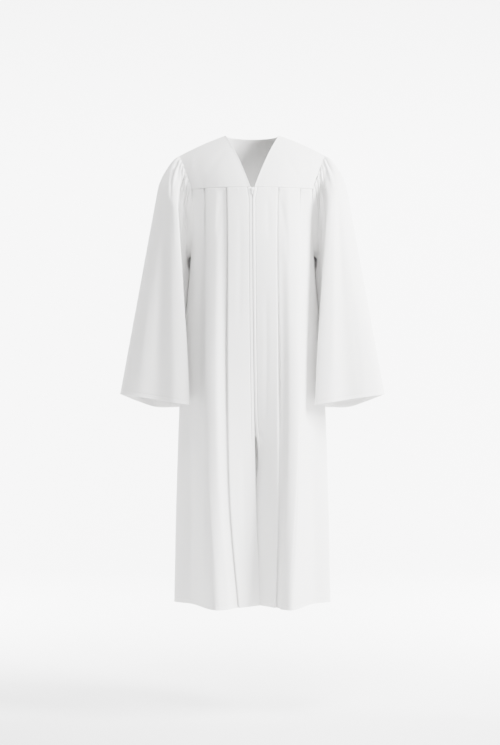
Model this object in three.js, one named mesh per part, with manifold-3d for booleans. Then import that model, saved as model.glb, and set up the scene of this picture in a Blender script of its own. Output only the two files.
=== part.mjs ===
// A white choir robe as it hangs on a wearer's shoulders, open inside: two front yokes and a back
// yoke, two pleated fronts and a pleated back, two gathered bell sleeves and a centre-front zip.
import * as THREE from 'three';
import { mergeVertices } from 'three/addons/utils/BufferGeometryUtils.js';
import Module from 'manifold-3d';

// Sizes are in millimetres. +X is the wearer's left, -Y is the front and +Z is up. The origin lies
// midway between the two points where the shoulder seams reach the neck.
const CLOTH = 1.4;
const YOKE_CLOTH = 1.8;
const SEAM_GAP = 0.3;
const FRONT_YOKE_Z = -141;
const BACK_YOKE_Z = -150;
const ARMPIT_Z = -300;
const NECK_HALF_WIDTH = 67;
const NECK_BACK = { y: 58, z: -2 };
const SHOULDER_TIP = { x: 186, y: 6, z: -52 };
const SHOULDER_RISE = 3;
const WHITE = 0xf1f0ee;
const ZIP_WHITE = 0xf6f6f4;

// The heights at which the sections of the body are given.
// `sway` is how far the front edges have drifted to the wearer's left there.
const LEVELS = [
  { name: 'yoke', z: FRONT_YOKE_Z, sway: 0 },
  { name: 'bust', z: -290, sway: 0.5 },
  { name: 'hip', z: -600, sway: 3.5 },
  { name: 'knee', z: -900, sway: 9.5 },
  { name: 'hem', z: -1172, sway: 19.5 },
];

// Lines that run down one half of the body, from the zip round to the centre back. Each has its
// distance from the centre line and its place behind the shoulder line at every level.
const GUIDES = [
  {
    name: 'front edge',
    yoke: [0, -112], bust: [0, -134], hip: [0, -125], knee: [0, -103], hem: [0, -74],
  },
  {
    name: 'front panel',
    yoke: [30, -111], bust: [30, -134], hip: [31, -130], knee: [28, -118], hem: [22, -96],
  },
  {
    name: 'inner pleat',
    yoke: [62, -106], bust: [60, -131], hip: [61, -134], knee: [58, -134], hem: [43, -118],
  },
  {
    name: 'second panel',
    yoke: [90, -97], bust: [90, -124], hip: [91, -139], knee: [84, -148], hem: [67, -150],
  },
  {
    name: 'outer pleat',
    yoke: [117, -84], bust: [117, -109], hip: [116, -128], knee: [110, -144], hem: [92, -161],
  },
  {
    name: 'front corner',
    yoke: [150, -60], bust: [145, -66], hip: [153, -54], knee: [152, -58], hem: [149, -48],
  },
  {
    name: 'side seam',
    yoke: [151, 4], bust: [153, 4], hip: [179, 0], knee: [191, 0], hem: [197, 2],
  },
  {
    name: 'back corner',
    yoke: [150, 62], bust: [147, 68], hip: [160, 62], knee: [160, 58], hem: [154, 52],
  },
  {
    name: 'outer back pleat',
    yoke: [112, 88], bust: [116, 102], hip: [122, 120], knee: [122, 142], hem: [112, 164],
  },
  {
    name: 'back panel',
    yoke: [86, 98], bust: [88, 112], hip: [92, 118], knee: [88, 120], hem: [82, 118],
  },
  {
    name: 'inner back pleat',
    yoke: [58, 104], bust: [60, 120], hip: [62, 132], knee: [58, 148], hem: [48, 168],
  },
  {
    name: 'centre back panel',
    yoke: [28, 108], bust: [30, 123], hip: [30, 128], knee: [27, 128], hem: [24, 124],
  },
  {
    name: 'centre back',
    yoke: [0, 109], bust: [0, 124], hip: [0, 127], knee: [0, 134], hem: [0, 142],
  },
];
const guideNamed = (name) => GUIDES.findIndex((guide) => guide.name === name);
const CORNER = guideNamed('front corner');
const SIDE = guideNamed('side seam');
const BACK_CORNER = guideNamed('back corner');
const CENTRE_BACK = guideNamed('centre back');
const LAST = 2 * CENTRE_BACK;

// Knife pleats, one row for each line that is a fold. The cloth doubles back along the surface by
// `swing` either side of the fold, over a length `cloth`, and steps inwards by `step` in all. A fold
// opens where its swing is small. `under` is the way to its lower layer, in guides.
const PLEATS = [
  { name: 'inner pleat', under: 1, cloth: 30, swing: [15, 15, 13.5, 11.5, 9], step: [5.6, 6, 7, 8, 8] },
  { name: 'outer pleat', under: 1, cloth: 30, swing: [14, 10, 4, 1, 0], step: [5.6, 6, 5, 2, 0] },
  { name: 'outer back pleat', under: -1, cloth: 30, swing: [14, 11, 4, 1, 0], step: [5.6, 6, 5, 2, 0] },
  { name: 'inner back pleat', under: -1, cloth: 30, swing: [15, 14, 10, 6, 3], step: [5.6, 6, 7, 7, 6] },
];
const FOLD_STEPS = [0, 0.18, 0.25, 0.3, 0.35, 0.41, 0.5, 0.59, 0.65, 0.7, 0.75, 0.82, 1];
// The shares of a fold at which its cloth starts to step inwards, and how long each step is.
const STEP_INWARDS = { first: 0.2, second: 0.6, length: 0.2 };

// How far round from the front edges their sway reaches. Below the zip one edge lies under the other.
const SWAY_REACH = 62;
const UNDERLAP = { hem: 9, from: -765 };
// Half the gap between the front edges: wide beside the zip's slider, narrow below it.
const EDGE_GAP = { zip: 1.0, slider: 5.0, from: -142, to: -172 };

// The sleeve's head ring and cuff ring, a row for each line that runs down the sleeve from the
// armhole seam. `at` is the place round that seam: 0 at the shoulder, 0.5 under the arm.
const SLEEVE = [
  { at: 0.0, head: [238, 3, -138], cuff: [331, -4, -650] },
  { at: 0.012, head: [234, -38, -146], cuff: [322, -60, -651] },
  { at: 0.026, head: [222, -64, -160], cuff: [282, -84, -656] },
  { at: 0.044, head: [211, -78, -174], cuff: [232, -92, -663] },
  { at: 0.068, head: [200, -88, -188], cuff: [188, -112, -670] },
  { at: 0.11, head: [189, -91, -202], cuff: [157, -106, -675] },
  { at: 0.2, head: [177, -54, -224], cuff: [168, -66, -676] },
  { at: 0.31, head: [168, -22, -268], cuff: [184, -32, -677] },
  { at: 0.5, head: [168, 10, -322], cuff: [203, 8, -678] },
  { at: 0.69, head: [160, 50, -268], cuff: [176, 66, -681] },
  { at: 0.8, head: [157, 80, -234], cuff: [158, 104, -683] },
  { at: 0.89, head: [157, 100, -208], cuff: [150, 128, -683] },
  { at: 0.932, head: [184, 100, -192], cuff: [200, 144, -686] },
  { at: 0.956, head: [203, 88, -176], cuff: [250, 118, -685] },
  { at: 0.974, head: [219, 68, -160], cuff: [292, 122, -672] },
  { at: 0.988, head: [234, 38, -146], cuff: [326, 62, -656] },
];
const HEAD_LENGTH_SHARE = 0.16;
const YOKE_SHARE = 0.32;
// How strongly the sleeve puffs out of its seam: `fall` less for each whole turn away from the
// shoulder, and never under `least`.
const PUFF = { shoulder: 39.1, fall: 85, least: 8 };

// The gathers sewn into half a sleeve's head, from the shoulder down. Each stands out by `height`
// and fades over `length`. GATHER_PITCH is their share of a turn, and they are lowest at the seam.
const GATHERS = [
  { height: 2.8, length: 90 },
  { height: 3.2, length: 130 },
  { height: 2.6, length: 80 },
  { height: 3.4, length: 180 },
  { height: 3.0, length: 150 },
];
const GATHER_PITCH = 0.34 / GATHERS.length;
const GATHER_RISE = 12;
const GATHER_AT_SEAM = 0.3;
const GATHER_COLUMNS = 4;
// The first gather spreads out over the outside of the sleeve, which has columns of its own.
const OUTER_GATHERS = 1;
const OUTER_COLUMNS = [0, 0.006, 0.012, 0.019, 0.028, 0.044, 0.056];

const SLEEVE_ROWS = [0, 0.015, 0.04, 0.075, 0.115, 0.16, 0.22, 0.36, 0.6, 1];
const BODY_ROWS = [0, 0.03, 0.08, 0.15, 0.26, 0.42, 0.593, 0.73, 0.86, 1];
const ZIP_END_ROW = 6;
const YOKE_ROWS = [0, 0.08, 0.2, 0.36, 0.54, 0.76, 1];
const YOKE_COLUMNS = [0, 0.1, 0.25, 0.4, 0.55, 0.7, 0.85, 1];
const BACK_NECK_SHARE = 0.4;
const BACK_YOKE_COLUMNS = [0, 0.1, 0.2, 0.3, BACK_NECK_SHARE, 0.55, 0.7, 0.85, 1];
const ARMHOLE_COLUMNS = [0.04, 0.14, 0.3, 0.55, 0.8];
const PANEL_COLUMNS = [0.35, 0.7];
// How far to each side a surface is looked at for its direction, as a share of its length.
const NEAR = { yoke: 0.02, sleeve: 0.001 };
const TOUCH = 0.001;

// The zip behind the front edges, its slider with a bridge, and the pull tab that hangs from it.
const ZIP = { chainHalf: 2.5, chainDepth: 2, tapeFrom: 2.8, tapeTo: 11, tape: 1 };
const SLIDER = {
  z: -147, up: 4.6, down: 5, thick: 2.6, corner: 1.4,
  halfWidth: 3.9, halfWaist: 3.7, halfHip: 2.8, halfFoot: 2.4,
};
const BRIDGE = { width: 1.8, half: 3.2, bar: 0.9, height: 2.95, root: 0.4 };
const PULL = { half: 2.2, foot: 1.7, length: 13, thick: 1.2, eyeHalf: 1.35, eyeEnd: 4.2, axis: 1.05 };

const mix = (a, b, t) => a + (b - a) * t;
const clamp = (t) => Math.min(1, Math.max(0, t));
const ease = (t) => clamp(t) ** 2 * (3 - 2 * clamp(t));

// A smooth value through the rows of a table, whose places may rise or fall.
function through(places, values, place) {
  const down = places[0] > places[places.length - 1] ? -1 : 1;
  let i = 0;
  while (i < places.length - 2 && down * place > down * places[i + 1]) i += 1;
  const slope = (k) => {
    const a = Math.max(k - 1, 0);
    const b = Math.min(k + 1, places.length - 1);
    return (values[b] - values[a]) / (places[b] - places[a]);
  };
  const span = places[i + 1] - places[i];
  const t = (place - places[i]) / span;
  if (t < 0) return values[i] + slope(i) * (place - places[i]);
  return (
    values[i] * (1 + 2 * t) * (1 - t) ** 2 +
    slope(i) * span * t * (1 - t) ** 2 +
    values[i + 1] * t * t * (3 - 2 * t) +
    slope(i + 1) * span * t * t * (t - 1)
  );
}

const levelHeights = LEVELS.map((level) => level.z);
const atLevels = (values, z) => through(levelHeights, values, Math.min(z, FRONT_YOKE_Z + 1));

function lowerShare(z, from) {
  return clamp((from - z) / (from - LEVELS[4].z));
}

function edgeGap(z) {
  return mix(EDGE_GAP.slider, EDGE_GAP.zip, ease((EDGE_GAP.from - z) / (EDGE_GAP.from - EDGE_GAP.to)));
}

const frontSway = (z) => atLevels(LEVELS.map((level) => level.sway), z);

// The plan place of one of the ring's lines: 0 is the wearer's right front edge, the centre back is
// in the middle and the wearer's left front edge is last.
function ringGuide(index, z) {
  const side = index <= CENTRE_BACK ? -1 : 1;
  const guide = GUIDES[index <= CENTRE_BACK ? index : LAST - index];
  let x = side * atLevels(LEVELS.map((level) => guide[level.name][0]), z);
  let y = atLevels(LEVELS.map((level) => guide[level.name][1]), z);
  if (y < 0) x += frontSway(z) * Math.exp(-((x / SWAY_REACH) ** 2));
  if (index === 0) x -= edgeGap(z);
  if (index === LAST) {
    x += edgeGap(z) - UNDERLAP.hem * lowerShare(z, UNDERLAP.from);
    y += UNDERLAP.hem * ease(3 * lowerShare(z, UNDERLAP.from));
  }
  return new THREE.Vector3(x, y, 0);
}

// The body's outline at one height, measured along itself from the wearer's right front edge.
const SAMPLES = 16;
const sections = new Map();
function section(z) {
  const key = z.toFixed(3);
  if (sections.has(key)) return sections.get(key);
  const guides = Array.from({ length: LAST + 1 }, (_, i) => ringGuide(i, z));
  const curve = new THREE.CatmullRomCurve3(guides, false, 'centripetal');
  const points = curve.getPoints(LAST * SAMPLES);
  const lengths = [0];
  for (let i = 1; i < points.length; i += 1) {
    lengths.push(lengths[i - 1] + points[i].distanceTo(points[i - 1]));
  }
  const made = { points, lengths, total: lengths[lengths.length - 1] };
  sections.set(key, made);
  return made;
}

function lengthAtGuide(z, index) {
  return section(z).lengths[index * SAMPLES];
}

// The point at a length along the outline, moved out by `out`.
function onOutline(z, length, out) {
  const { points, lengths } = section(z);
  let i = 1;
  while (i < lengths.length - 1 && lengths[i] < length) i += 1;
  const along = points[i].clone().sub(points[i - 1]).normalize();
  const place = points[i - 1].clone().addScaledVector(along, length - lengths[i - 1]);
  return place.add(new THREE.Vector3(-along.y, along.x, 0).multiplyScalar(out));
}

const RING_PLEATS = PLEATS.flatMap((pleat) => {
  const guide = guideNamed(pleat.name);
  return [{ ...pleat, guide }, { ...pleat, guide: LAST - guide, under: -pleat.under }];
});
const pleatAt = (index) => RING_PLEATS.find((pleat) => pleat.guide === index);

// How far along the outline, past the guide, a pleat's cloth lies at the share q of its fold. The
// fold's upper edge, which is the furthest point of its first turn, lies on the guide.
function foldAlong(pleat, q, z) {
  const { cloth } = pleat;
  const swing = atLevels(pleat.swing, z);
  const wave = (share) => cloth * (share - 0.5) + swing * Math.sin(2 * Math.PI * share);
  const turns = 2 * Math.PI * swing > cloth;
  const edge = turns ? Math.acos(-cloth / (2 * Math.PI * swing)) / (2 * Math.PI) : 0.5;
  return pleat.under * (wave(q) - wave(edge));
}

// Where a column of the body's cloth lies at height z. A column is either a step through a pleat's
// fold or a share of the way from one guide to the next. `shift` moves it along the outline.
function bodyPoint(column, z) {
  if (column.pleat) {
    const { pleat, q } = column;
    const stepped = (from) => ease((q - from) / STEP_INWARDS.length);
    const down = (stepped(STEP_INWARDS.first) + stepped(STEP_INWARDS.second)) / 2;
    const length = lengthAtGuide(z, pleat.guide) + foldAlong(pleat, q, z);
    return onOutline(z, length, -atLevels(pleat.step, z) * down);
  }
  const { guide, share } = column;
  const before = pleatAt(guide);
  const after = pleatAt(guide + 1);
  const start = lengthAtGuide(z, guide) + (before ? foldAlong(before, before.under > 0 ? 1 : 0, z) : 0);
  const end = lengthAtGuide(z, guide + 1) + (after ? foldAlong(after, after.under > 0 ? 0 : 1, z) : 0);
  let out = 0;
  if (before && before.under > 0) out -= atLevels(before.step, z) * (1 - ease(share));
  if (after && after.under < 0) out -= atLevels(after.step, z) * ease(share);
  return onOutline(z, mix(start, end, share) + (column.shift || 0), out);
}

// The height at which a column's cloth begins: at a yoke, or on the armhole's curve.
function bodyTop(column) {
  const at = column.pleat ? column.pleat.guide : column.guide + column.share;
  const folded = at > CENTRE_BACK ? LAST - at : at;
  if (folded <= CORNER) return FRONT_YOKE_Z;
  if (folded <= SIDE) return mix(FRONT_YOKE_Z, ARMPIT_Z, Math.sqrt(1 - (SIDE - folded) ** 2));
  if (folded <= BACK_CORNER) return mix(BACK_YOKE_Z, ARMPIT_Z, Math.sqrt(1 - (folded - SIDE) ** 2));
  return BACK_YOKE_Z;
}

// Every column round the body, in order.
function bodyColumns() {
  const columns = [];
  for (let guide = 0; guide < LAST; guide += 1) {
    const pleat = pleatAt(guide);
    if (pleat) {
      const steps = FOLD_STEPS.map((q) => ({ pleat, q, guide, share: 0 }));
      columns.push(...(pleat.under > 0 ? steps : steps.reverse()));
    } else {
      columns.push({ guide, share: 0 });
    }
    const folded = Math.min(guide, LAST - 1 - guide);
    const armhole = folded === CORNER || folded === SIDE;
    const towardsSide = (guide < CENTRE_BACK) === (folded === CORNER);
    const shares = armhole ? ARMHOLE_COLUMNS : PANEL_COLUMNS;
    const placed = armhole && !towardsSide ? shares.map((s) => 1 - s).reverse() : shares;
    columns.push(...placed.map((share) => ({ guide, share })));
  }
  columns.push({ guide: LAST - 1, share: 1 });
  return columns;
}

// The cloth's mid-surface point and outward direction for a column at height z. At a panel's end
// the direction is the outline's own, which the next panel shares.
function bodyFrame(columns, index, z) {
  const column = columns[index];
  const ends = index === 0 || index === columns.length - 1;
  const shifted = (by) => bodyPoint({ ...column, shift: (column.shift || 0) + by }, z);
  const last = ends ? shifted(-1) : bodyPoint(columns[index - 1], z);
  const next = ends ? shifted(1) : bodyPoint(columns[index + 1], z);
  const along = next.sub(last).normalize();
  return { place: bodyPoint(column, z).setZ(z), out: new THREE.Vector3(-along.y, along.x, 0) };
}

// A closed wall from a grid of frames, one list of frames for each row. It is closed round when the
// rows are rings.
function wall(rows, thickness, round) {
  const across = rows[0].length;
  const positions = [];
  for (const sign of [0.5, -0.5]) {
    for (const row of rows) {
      for (const { place, out } of row) {
        positions.push(...place.clone().addScaledVector(out, sign * thickness).toArray());
      }
    }
  }
  const inside = rows.length * across;
  const outer = (i, j) => i * across + (j % across);
  const inner = (i, j) => inside + outer(i, j);
  const faces = [];
  const quad = (a, b, c, d) => faces.push(a, b, c, a, c, d);
  const columnsUsed = round ? across : across - 1;
  for (let j = 0; j < columnsUsed; j += 1) {
    for (let i = 0; i < rows.length - 1; i += 1) {
      quad(outer(i, j), outer(i + 1, j), outer(i + 1, j + 1), outer(i, j + 1));
      quad(inner(i, j), inner(i, j + 1), inner(i + 1, j + 1), inner(i + 1, j));
    }
    const foot = rows.length - 1;
    quad(outer(0, j), outer(0, j + 1), inner(0, j + 1), inner(0, j));
    quad(outer(foot, j), inner(foot, j), inner(foot, j + 1), outer(foot, j + 1));
  }
  if (!round) {
    for (let i = 0; i < rows.length - 1; i += 1) {
      quad(outer(i, 0), inner(i, 0), inner(i + 1, 0), outer(i + 1, 0));
      quad(outer(i, across - 1), outer(i + 1, across - 1), inner(i + 1, across - 1), inner(i, across - 1));
    }
  }
  const geometry = new THREE.BufferGeometry();
  geometry.setAttribute('position', new THREE.Float32BufferAttribute(positions, 3));
  geometry.setIndex(faces);
  return geometry;
}

// A panel of the body between two of its columns, with its rows from the top down to the hem.
const rowHeight = (top, share) => mix(top - SEAM_GAP / 2, LEVELS[4].z, share);
function bodyPanel(columns) {
  const rows = BODY_ROWS.map((share) =>
    columns.map((column, index) => bodyFrame(columns, index, rowHeight(bodyTop(column), share))).reverse(),
  );
  return wall(rows, CLOTH, false);
}

// The columns of one panel, with the seam's gap taken off where it meets the next panel.
function panelColumns(columns, first, last) {
  const start = columns.findIndex((column) => column.guide === first);
  const stop = last === LAST ? columns.length - 1 : columns.findIndex((column) => column.guide === last);
  const chosen = columns.slice(start, stop + 1);
  const end = last === LAST ? { guide: LAST - 1, share: 1 } : { guide: last - 1, share: 1 };
  chosen[chosen.length - 1] = { ...end, shift: last === LAST ? 0 : -SEAM_GAP / 2 };
  chosen[0] = { ...chosen[0], shift: first === 0 ? 0 : SEAM_GAP / 2 };
  return chosen;
}

// How a yoke leaves the shoulder and reaches its lower seam, as shares of the way in x, y and z.
const FRONT_FALL = { leave: [0.85, 1.35, 0.62], arrive: [1.05, 0.42, 1.3] };
const BACK_FALL = { leave: [0.85, 1.3, 0.55], arrive: [1.05, 0.35, 1.25] };

// A curve between two points that leaves the first one mostly across and reaches the second mostly
// down, as cloth does over a shoulder.
function overShoulder(start, end, b, fall) {
  const reach = end.clone().sub(start);
  const from = reach.clone().multiply(new THREE.Vector3(...fall.leave));
  const to = reach.clone().multiply(new THREE.Vector3(...fall.arrive));
  return start
    .clone()
    .multiplyScalar((1 + 2 * b) * (1 - b) ** 2)
    .addScaledVector(from, b * (1 - b) ** 2)
    .addScaledVector(end, b * b * (3 - 2 * b))
    .addScaledVector(to, b * b * (b - 1));
}

// The shoulder seam of one side, from the neck at 0 to the sleeve at 1.
function shoulderPoint(side, share) {
  return new THREE.Vector3(
    side * mix(NECK_HALF_WIDTH, SHOULDER_TIP.x, share),
    mix(0, SHOULDER_TIP.y, share),
    mix(0, SHOULDER_TIP.z, share) + SHOULDER_RISE * Math.sin(Math.PI * share),
  );
}

function yokeSeamPoint(side, share, from, to, z) {
  const start = lengthAtGuide(z, side < 0 ? from : LAST - from);
  const end = lengthAtGuide(z, side < 0 ? to : LAST - to);
  return onOutline(z, mix(start, end, share), 0).setZ(z);
}

// A front yoke's point: a runs from the neck to the armhole and b from the shoulder to the seam.
function frontYokePoint(side, a, b) {
  const end = yokeSeamPoint(side, a, 0, CORNER, FRONT_YOKE_Z);
  return overShoulder(shoulderPoint(side, a), end, b, FRONT_FALL);
}

// The back yoke's point: a runs from the centre back at 0 to the armhole at 1.
function backYokePoint(side, a, b) {
  const round = (Math.PI / 2) * clamp(a / BACK_NECK_SHARE);
  const neck = new THREE.Vector3(
    side * NECK_HALF_WIDTH * Math.sin(round),
    NECK_BACK.y * Math.cos(round),
    NECK_BACK.z * Math.cos(round),
  );
  const alongShoulder = (a - BACK_NECK_SHARE) / (1 - BACK_NECK_SHARE);
  const start = a <= BACK_NECK_SHARE ? neck : shoulderPoint(side, alongShoulder);
  const end = yokeSeamPoint(side, a, CENTRE_BACK, BACK_CORNER, BACK_YOKE_Z);
  return overShoulder(start, end, b, BACK_FALL);
}

// The outward direction of a surface, from its points a little to each side.
function outward(point, side, a, b, turn) {
  const overA = point(side, Math.min(a + NEAR.yoke, 1), b).sub(point(side, Math.max(a - NEAR.yoke, 0), b));
  const overB = point(side, a, Math.min(b + NEAR.yoke, 1)).sub(point(side, a, Math.max(b - NEAR.yoke, 0)));
  return overA.cross(overB).multiplyScalar(turn * side).normalize();
}

function yokeFrame(point, turn, side, a, b, seamZ) {
  const place = point(side, a, b);
  const out = outward(point, side, a, b, turn);
  if (b === 1) out.setZ(0).normalize();
  if (b === 0 && place.y >= 0 && Math.abs(place.x) >= NECK_HALF_WIDTH - TOUCH) out.setY(0).normalize();
  const down = b === 1 ? seamZ + SEAM_GAP / 2 - place.z : 0;
  return { place: place.add(new THREE.Vector3(0, 0, down)), out };
}

const frontYokeFrame = (side, a, b) => yokeFrame(frontYokePoint, -1, side, a, b, FRONT_YOKE_Z);
const backYokeFrame = (side, a, b) => yokeFrame(backYokePoint, 1, side, a, b, BACK_YOKE_Z);

function moved(frame, x, y, z) {
  return { place: frame.place.clone().add(new THREE.Vector3(x, y, z)), out: frame.out };
}

function frontYoke(side) {
  const columns = side < 0 ? [...YOKE_COLUMNS].reverse() : YOKE_COLUMNS;
  const rows = YOKE_ROWS.map((b) =>
    columns.map((a) => moved(frontYokeFrame(side, a, b), 0, b === 0 ? -SEAM_GAP / 2 : 0, 0)),
  );
  return wall(rows, YOKE_CLOTH, false);
}

function backYoke() {
  const left = BACK_YOKE_COLUMNS.map((a) => [1, a]);
  const right = BACK_YOKE_COLUMNS.slice(1).map((a) => [-1, a]);
  const columns = [...left.reverse(), ...right];
  const rows = YOKE_ROWS.map((b) =>
    columns.map(([side, a]) => moved(backYokeFrame(side, a, b), 0, b === 0 ? SEAM_GAP / 2 : 0, 0)),
  );
  return wall(rows, YOKE_CLOTH, false);
}

// The armhole's seam as a chain of the body's cloth frames: down the front yoke's edge, under the
// arm and up the back yoke's edge. `at` is the place round the sleeve, as in its table.
function armholeSeam(side) {
  const chain = YOKE_ROWS.map((b) => ({ at: YOKE_SHARE * b, ...frontYokeFrame(side, 1, b) }));
  const folded = (column) => {
    const at = column.pleat ? column.pleat.guide : column.guide + column.share;
    return side < 0 ? at : LAST - at;
  };
  const under = ring
    .map((column, index) => ({ folded: folded(column), index }))
    .filter((entry) => entry.folded > CORNER + TOUCH && entry.folded < BACK_CORNER - TOUCH)
    .sort((a, b) => a.folded - b.folded)
    .map((entry) => bodyFrame(ring, entry.index, bodyTop(ring[entry.index])));
  const half = (under.length + 1) / 2;
  under.forEach((frame, i) => {
    chain.push({ at: mix(YOKE_SHARE, 0.5, (i + 1) / half), ...frame });
  });
  [...YOKE_ROWS].reverse().forEach((b) => {
    chain.push({ at: 1 - YOKE_SHARE * b, ...backYokeFrame(side, 1, b) });
  });
  return chain;
}

// The seam's cloth frame at a place round the sleeve, with `away`, the way from the body's cloth.
function armholeFrame(side, at) {
  const chain = seams[side];
  let i = 0;
  while (i < chain.length - 2 && at > chain[i + 1].at) i += 1;
  const t = (at - chain[i].at) / (chain[i + 1].at - chain[i].at);
  const out = chain[i].out.clone().lerp(chain[i + 1].out, t).normalize();
  const along = chain[i + 1].place.clone().sub(chain[i].place);
  const away = out.clone().cross(along).multiplyScalar(side).normalize();
  return { place: chain[i].place.clone().lerp(chain[i + 1].place, t), out, away };
}

const ring = bodyColumns();
const seams = { [-1]: armholeSeam(-1), 1: armholeSeam(1) };

// A closed curve through the sleeve table's head or cuff points.
function sleeveRing(key) {
  const points = SLEEVE.map((row) => new THREE.Vector3(...row[key]));
  const curve = new THREE.CatmullRomCurve3(points, true, 'centripetal');
  return (at) => {
    let i = SLEEVE.length - 1;
    while (SLEEVE[i].at > at) i -= 1;
    const end = i + 1 < SLEEVE.length ? SLEEVE[i + 1].at : 1;
    return curve.getPoint((i + (at - SLEEVE[i].at) / (end - SLEEVE[i].at)) / SLEEVE.length);
  };
}
const headRing = sleeveRing('head');
const cuffRing = sleeveRing('cuff');

// How far the gathers stand out of the sleeve, at a place round it and a distance down from the seam.
function gather(at, distance) {
  const place = (at <= 0.5 ? at : 1 - at) / GATHER_PITCH;
  const row = GATHERS[Math.min(Math.floor(place), GATHERS.length - 1)];
  if (place > GATHERS.length) return 0;
  const rise = mix(GATHER_AT_SEAM, 1, ease(distance / GATHER_RISE));
  const fade = 1 - ease((distance - GATHER_RISE) / row.length);
  return row.height * rise * fade * Math.sin(Math.PI * (place % 1)) ** 2;
}

// The sleeve's surface: `at` round it and `down` from the seam at 0 to the cuff at 1. It leaves the
// seam in a puff, rounds over into the head ring and hangs from there in straight lines.
function sleevePoint(side, at, down) {
  const place = new THREE.Vector3(side, 1, 1);
  const seam = armholeFrame(side, at);
  const start = seam.place;
  const head = headRing(at).multiply(place);
  const cuff = cuffRing(at).multiply(place);
  const fall = cuff.clone().sub(head);
  if (down >= HEAD_LENGTH_SHARE) {
    return head.addScaledVector(fall, (down - HEAD_LENGTH_SHARE) / (1 - HEAD_LENGTH_SHARE));
  }
  const t = down / HEAD_LENGTH_SHARE;
  const puff = Math.max(PUFF.shoulder - PUFF.fall * Math.min(at, 1 - at), PUFF.least);
  const leave = head.clone().sub(start).addScaledVector(seam.out, puff);
  const arrive = fall.normalize().multiplyScalar(start.distanceTo(head));
  return start
    .clone()
    .multiplyScalar((1 + 2 * t) * (1 - t) ** 2)
    .addScaledVector(leave, t * (1 - t) ** 2)
    .addScaledVector(head, t * t * (3 - 2 * t))
    .addScaledVector(arrive, t * t * (t - 1));
}

function sleeveFrame(side, at, down) {
  const seam = armholeFrame(side, at);
  if (down === 0) {
    const lift = GATHER_AT_SEAM * gather(at, 0);
    const place = seam.place.addScaledVector(seam.away, SEAM_GAP).addScaledVector(seam.out, lift);
    return { place, out: seam.out };
  }
  const step = NEAR.sleeve;
  const wrap = (value) => (value + 1) % 1;
  const round = sleevePoint(side, wrap(at + step), down).sub(sleevePoint(side, wrap(at - step), down));
  const fall = sleevePoint(side, at, Math.min(down + step, 1)).sub(sleevePoint(side, at, down - step));
  const out = round.cross(fall).multiplyScalar(side).normalize();
  const place = sleevePoint(side, at, down);
  return { place: place.addScaledVector(out, gather(at, seam.place.distanceTo(place))), out };
}

// The places round a sleeve that have a column: some to each gather, and the seam's own under the arm.
function sleeveColumns(side) {
  const first = OUTER_GATHERS * GATHER_COLUMNS;
  const count = GATHERS.length * GATHER_COLUMNS - first + 1;
  const gathered = Array.from({ length: count }, (_, i) => ((first + i) * GATHER_PITCH) / GATHER_COLUMNS);
  const front = [...OUTER_COLUMNS, ...gathered];
  const last = front[front.length - 1] + TOUCH;
  const under = seams[side].map((frame) => frame.at).filter((at) => at > last && at < 1 - last);
  return [...front, ...under, ...front.slice(1).map((at) => 1 - at).reverse()];
}

function sleeve(side) {
  const columns = sleeveColumns(side);
  if (side > 0) columns.reverse();
  const rows = SLEEVE_ROWS.map((down) => columns.map((at) => sleeveFrame(side, at, down)));
  return wall(rows, CLOTH, true);
}

// The zip follows the front edges down the body's own rows: one tape lies behind each front, and
// the closed teeth lie between them.
const ZIP_HEIGHTS = BODY_ROWS.slice(0, ZIP_END_ROW + 1).map((share) => rowHeight(FRONT_YOKE_Z, share));
function zipTape(side) {
  const across = side < 0 ? [ZIP.tapeTo, ZIP.tapeFrom] : [ZIP.tapeFrom, ZIP.tapeTo];
  const depth = CLOTH / 2 + SEAM_GAP + ZIP.tape / 2;
  const rows = ZIP_HEIGHTS.map((z) =>
    across.map((from) => {
      const length = from - edgeGap(z);
      const along = side < 0 ? length : section(z).total - length;
      const place = onOutline(z, along, -depth);
      const out = onOutline(z, along, 0).sub(place).normalize();
      return { place: place.setZ(z), out };
    }),
  );
  return wall(rows, ZIP.tape, false);
}

// The middle of the closed front edges at one of the body's rows, or part of the way to the next.
function zipLine(row, share) {
  const at = (k) => {
    const z = ZIP_HEIGHTS[k];
    return new THREE.Vector3(frontSway(z), ringGuide(0, z).y, z);
  };
  return share > 0 ? at(row).lerp(at(row + 1), share) : at(row);
}
const SLIDER_SHARE = (ZIP_HEIGHTS[0] - SLIDER.z) / (ZIP_HEIGHTS[0] - ZIP_HEIGHTS[1]);

function zipChain() {
  const out = new THREE.Vector3(0, -1, 0);
  const depth = CLOTH / 2 + SEAM_GAP + ZIP.chainDepth / 2;
  const rows = ZIP_HEIGHTS.map((_, row) => {
    const line = zipLine(row, row === 0 ? SLIDER_SHARE : 0);
    return [-1, 1].map((side) => ({
      place: line.clone().add(new THREE.Vector3(side * ZIP.chainHalf, depth, 0)),
      out,
    }));
  });
  return wall(rows, ZIP.chainDepth, false);
}

// Solids are joined and cut as closed meshes whose shared vertices are merged.
const wasm = await Module();
wasm.setup();
function solid(geometry) {
  const bare = geometry.index ? geometry.toNonIndexed() : geometry.clone();
  bare.deleteAttribute('normal');
  bare.deleteAttribute('uv');
  const merged = mergeVertices(bare, 1e-4);
  return new wasm.Manifold(
    new wasm.Mesh({
      numProp: 3,
      vertProperties: merged.attributes.position.array,
      triVerts: new Uint32Array(merged.index.array),
    }),
  );
}

function geometryOf(manifold) {
  const mesh = manifold.getMesh();
  const geometry = new THREE.BufferGeometry();
  geometry.setAttribute('position', new THREE.BufferAttribute(mesh.vertProperties, 3));
  geometry.setIndex(new THREE.BufferAttribute(mesh.triVerts, 1));
  return geometry;
}

const extruded = (outline, depth) => {
  return new THREE.ExtrudeGeometry(outline, { depth, bevelEnabled: false, curveSegments: 4 });
};

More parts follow.
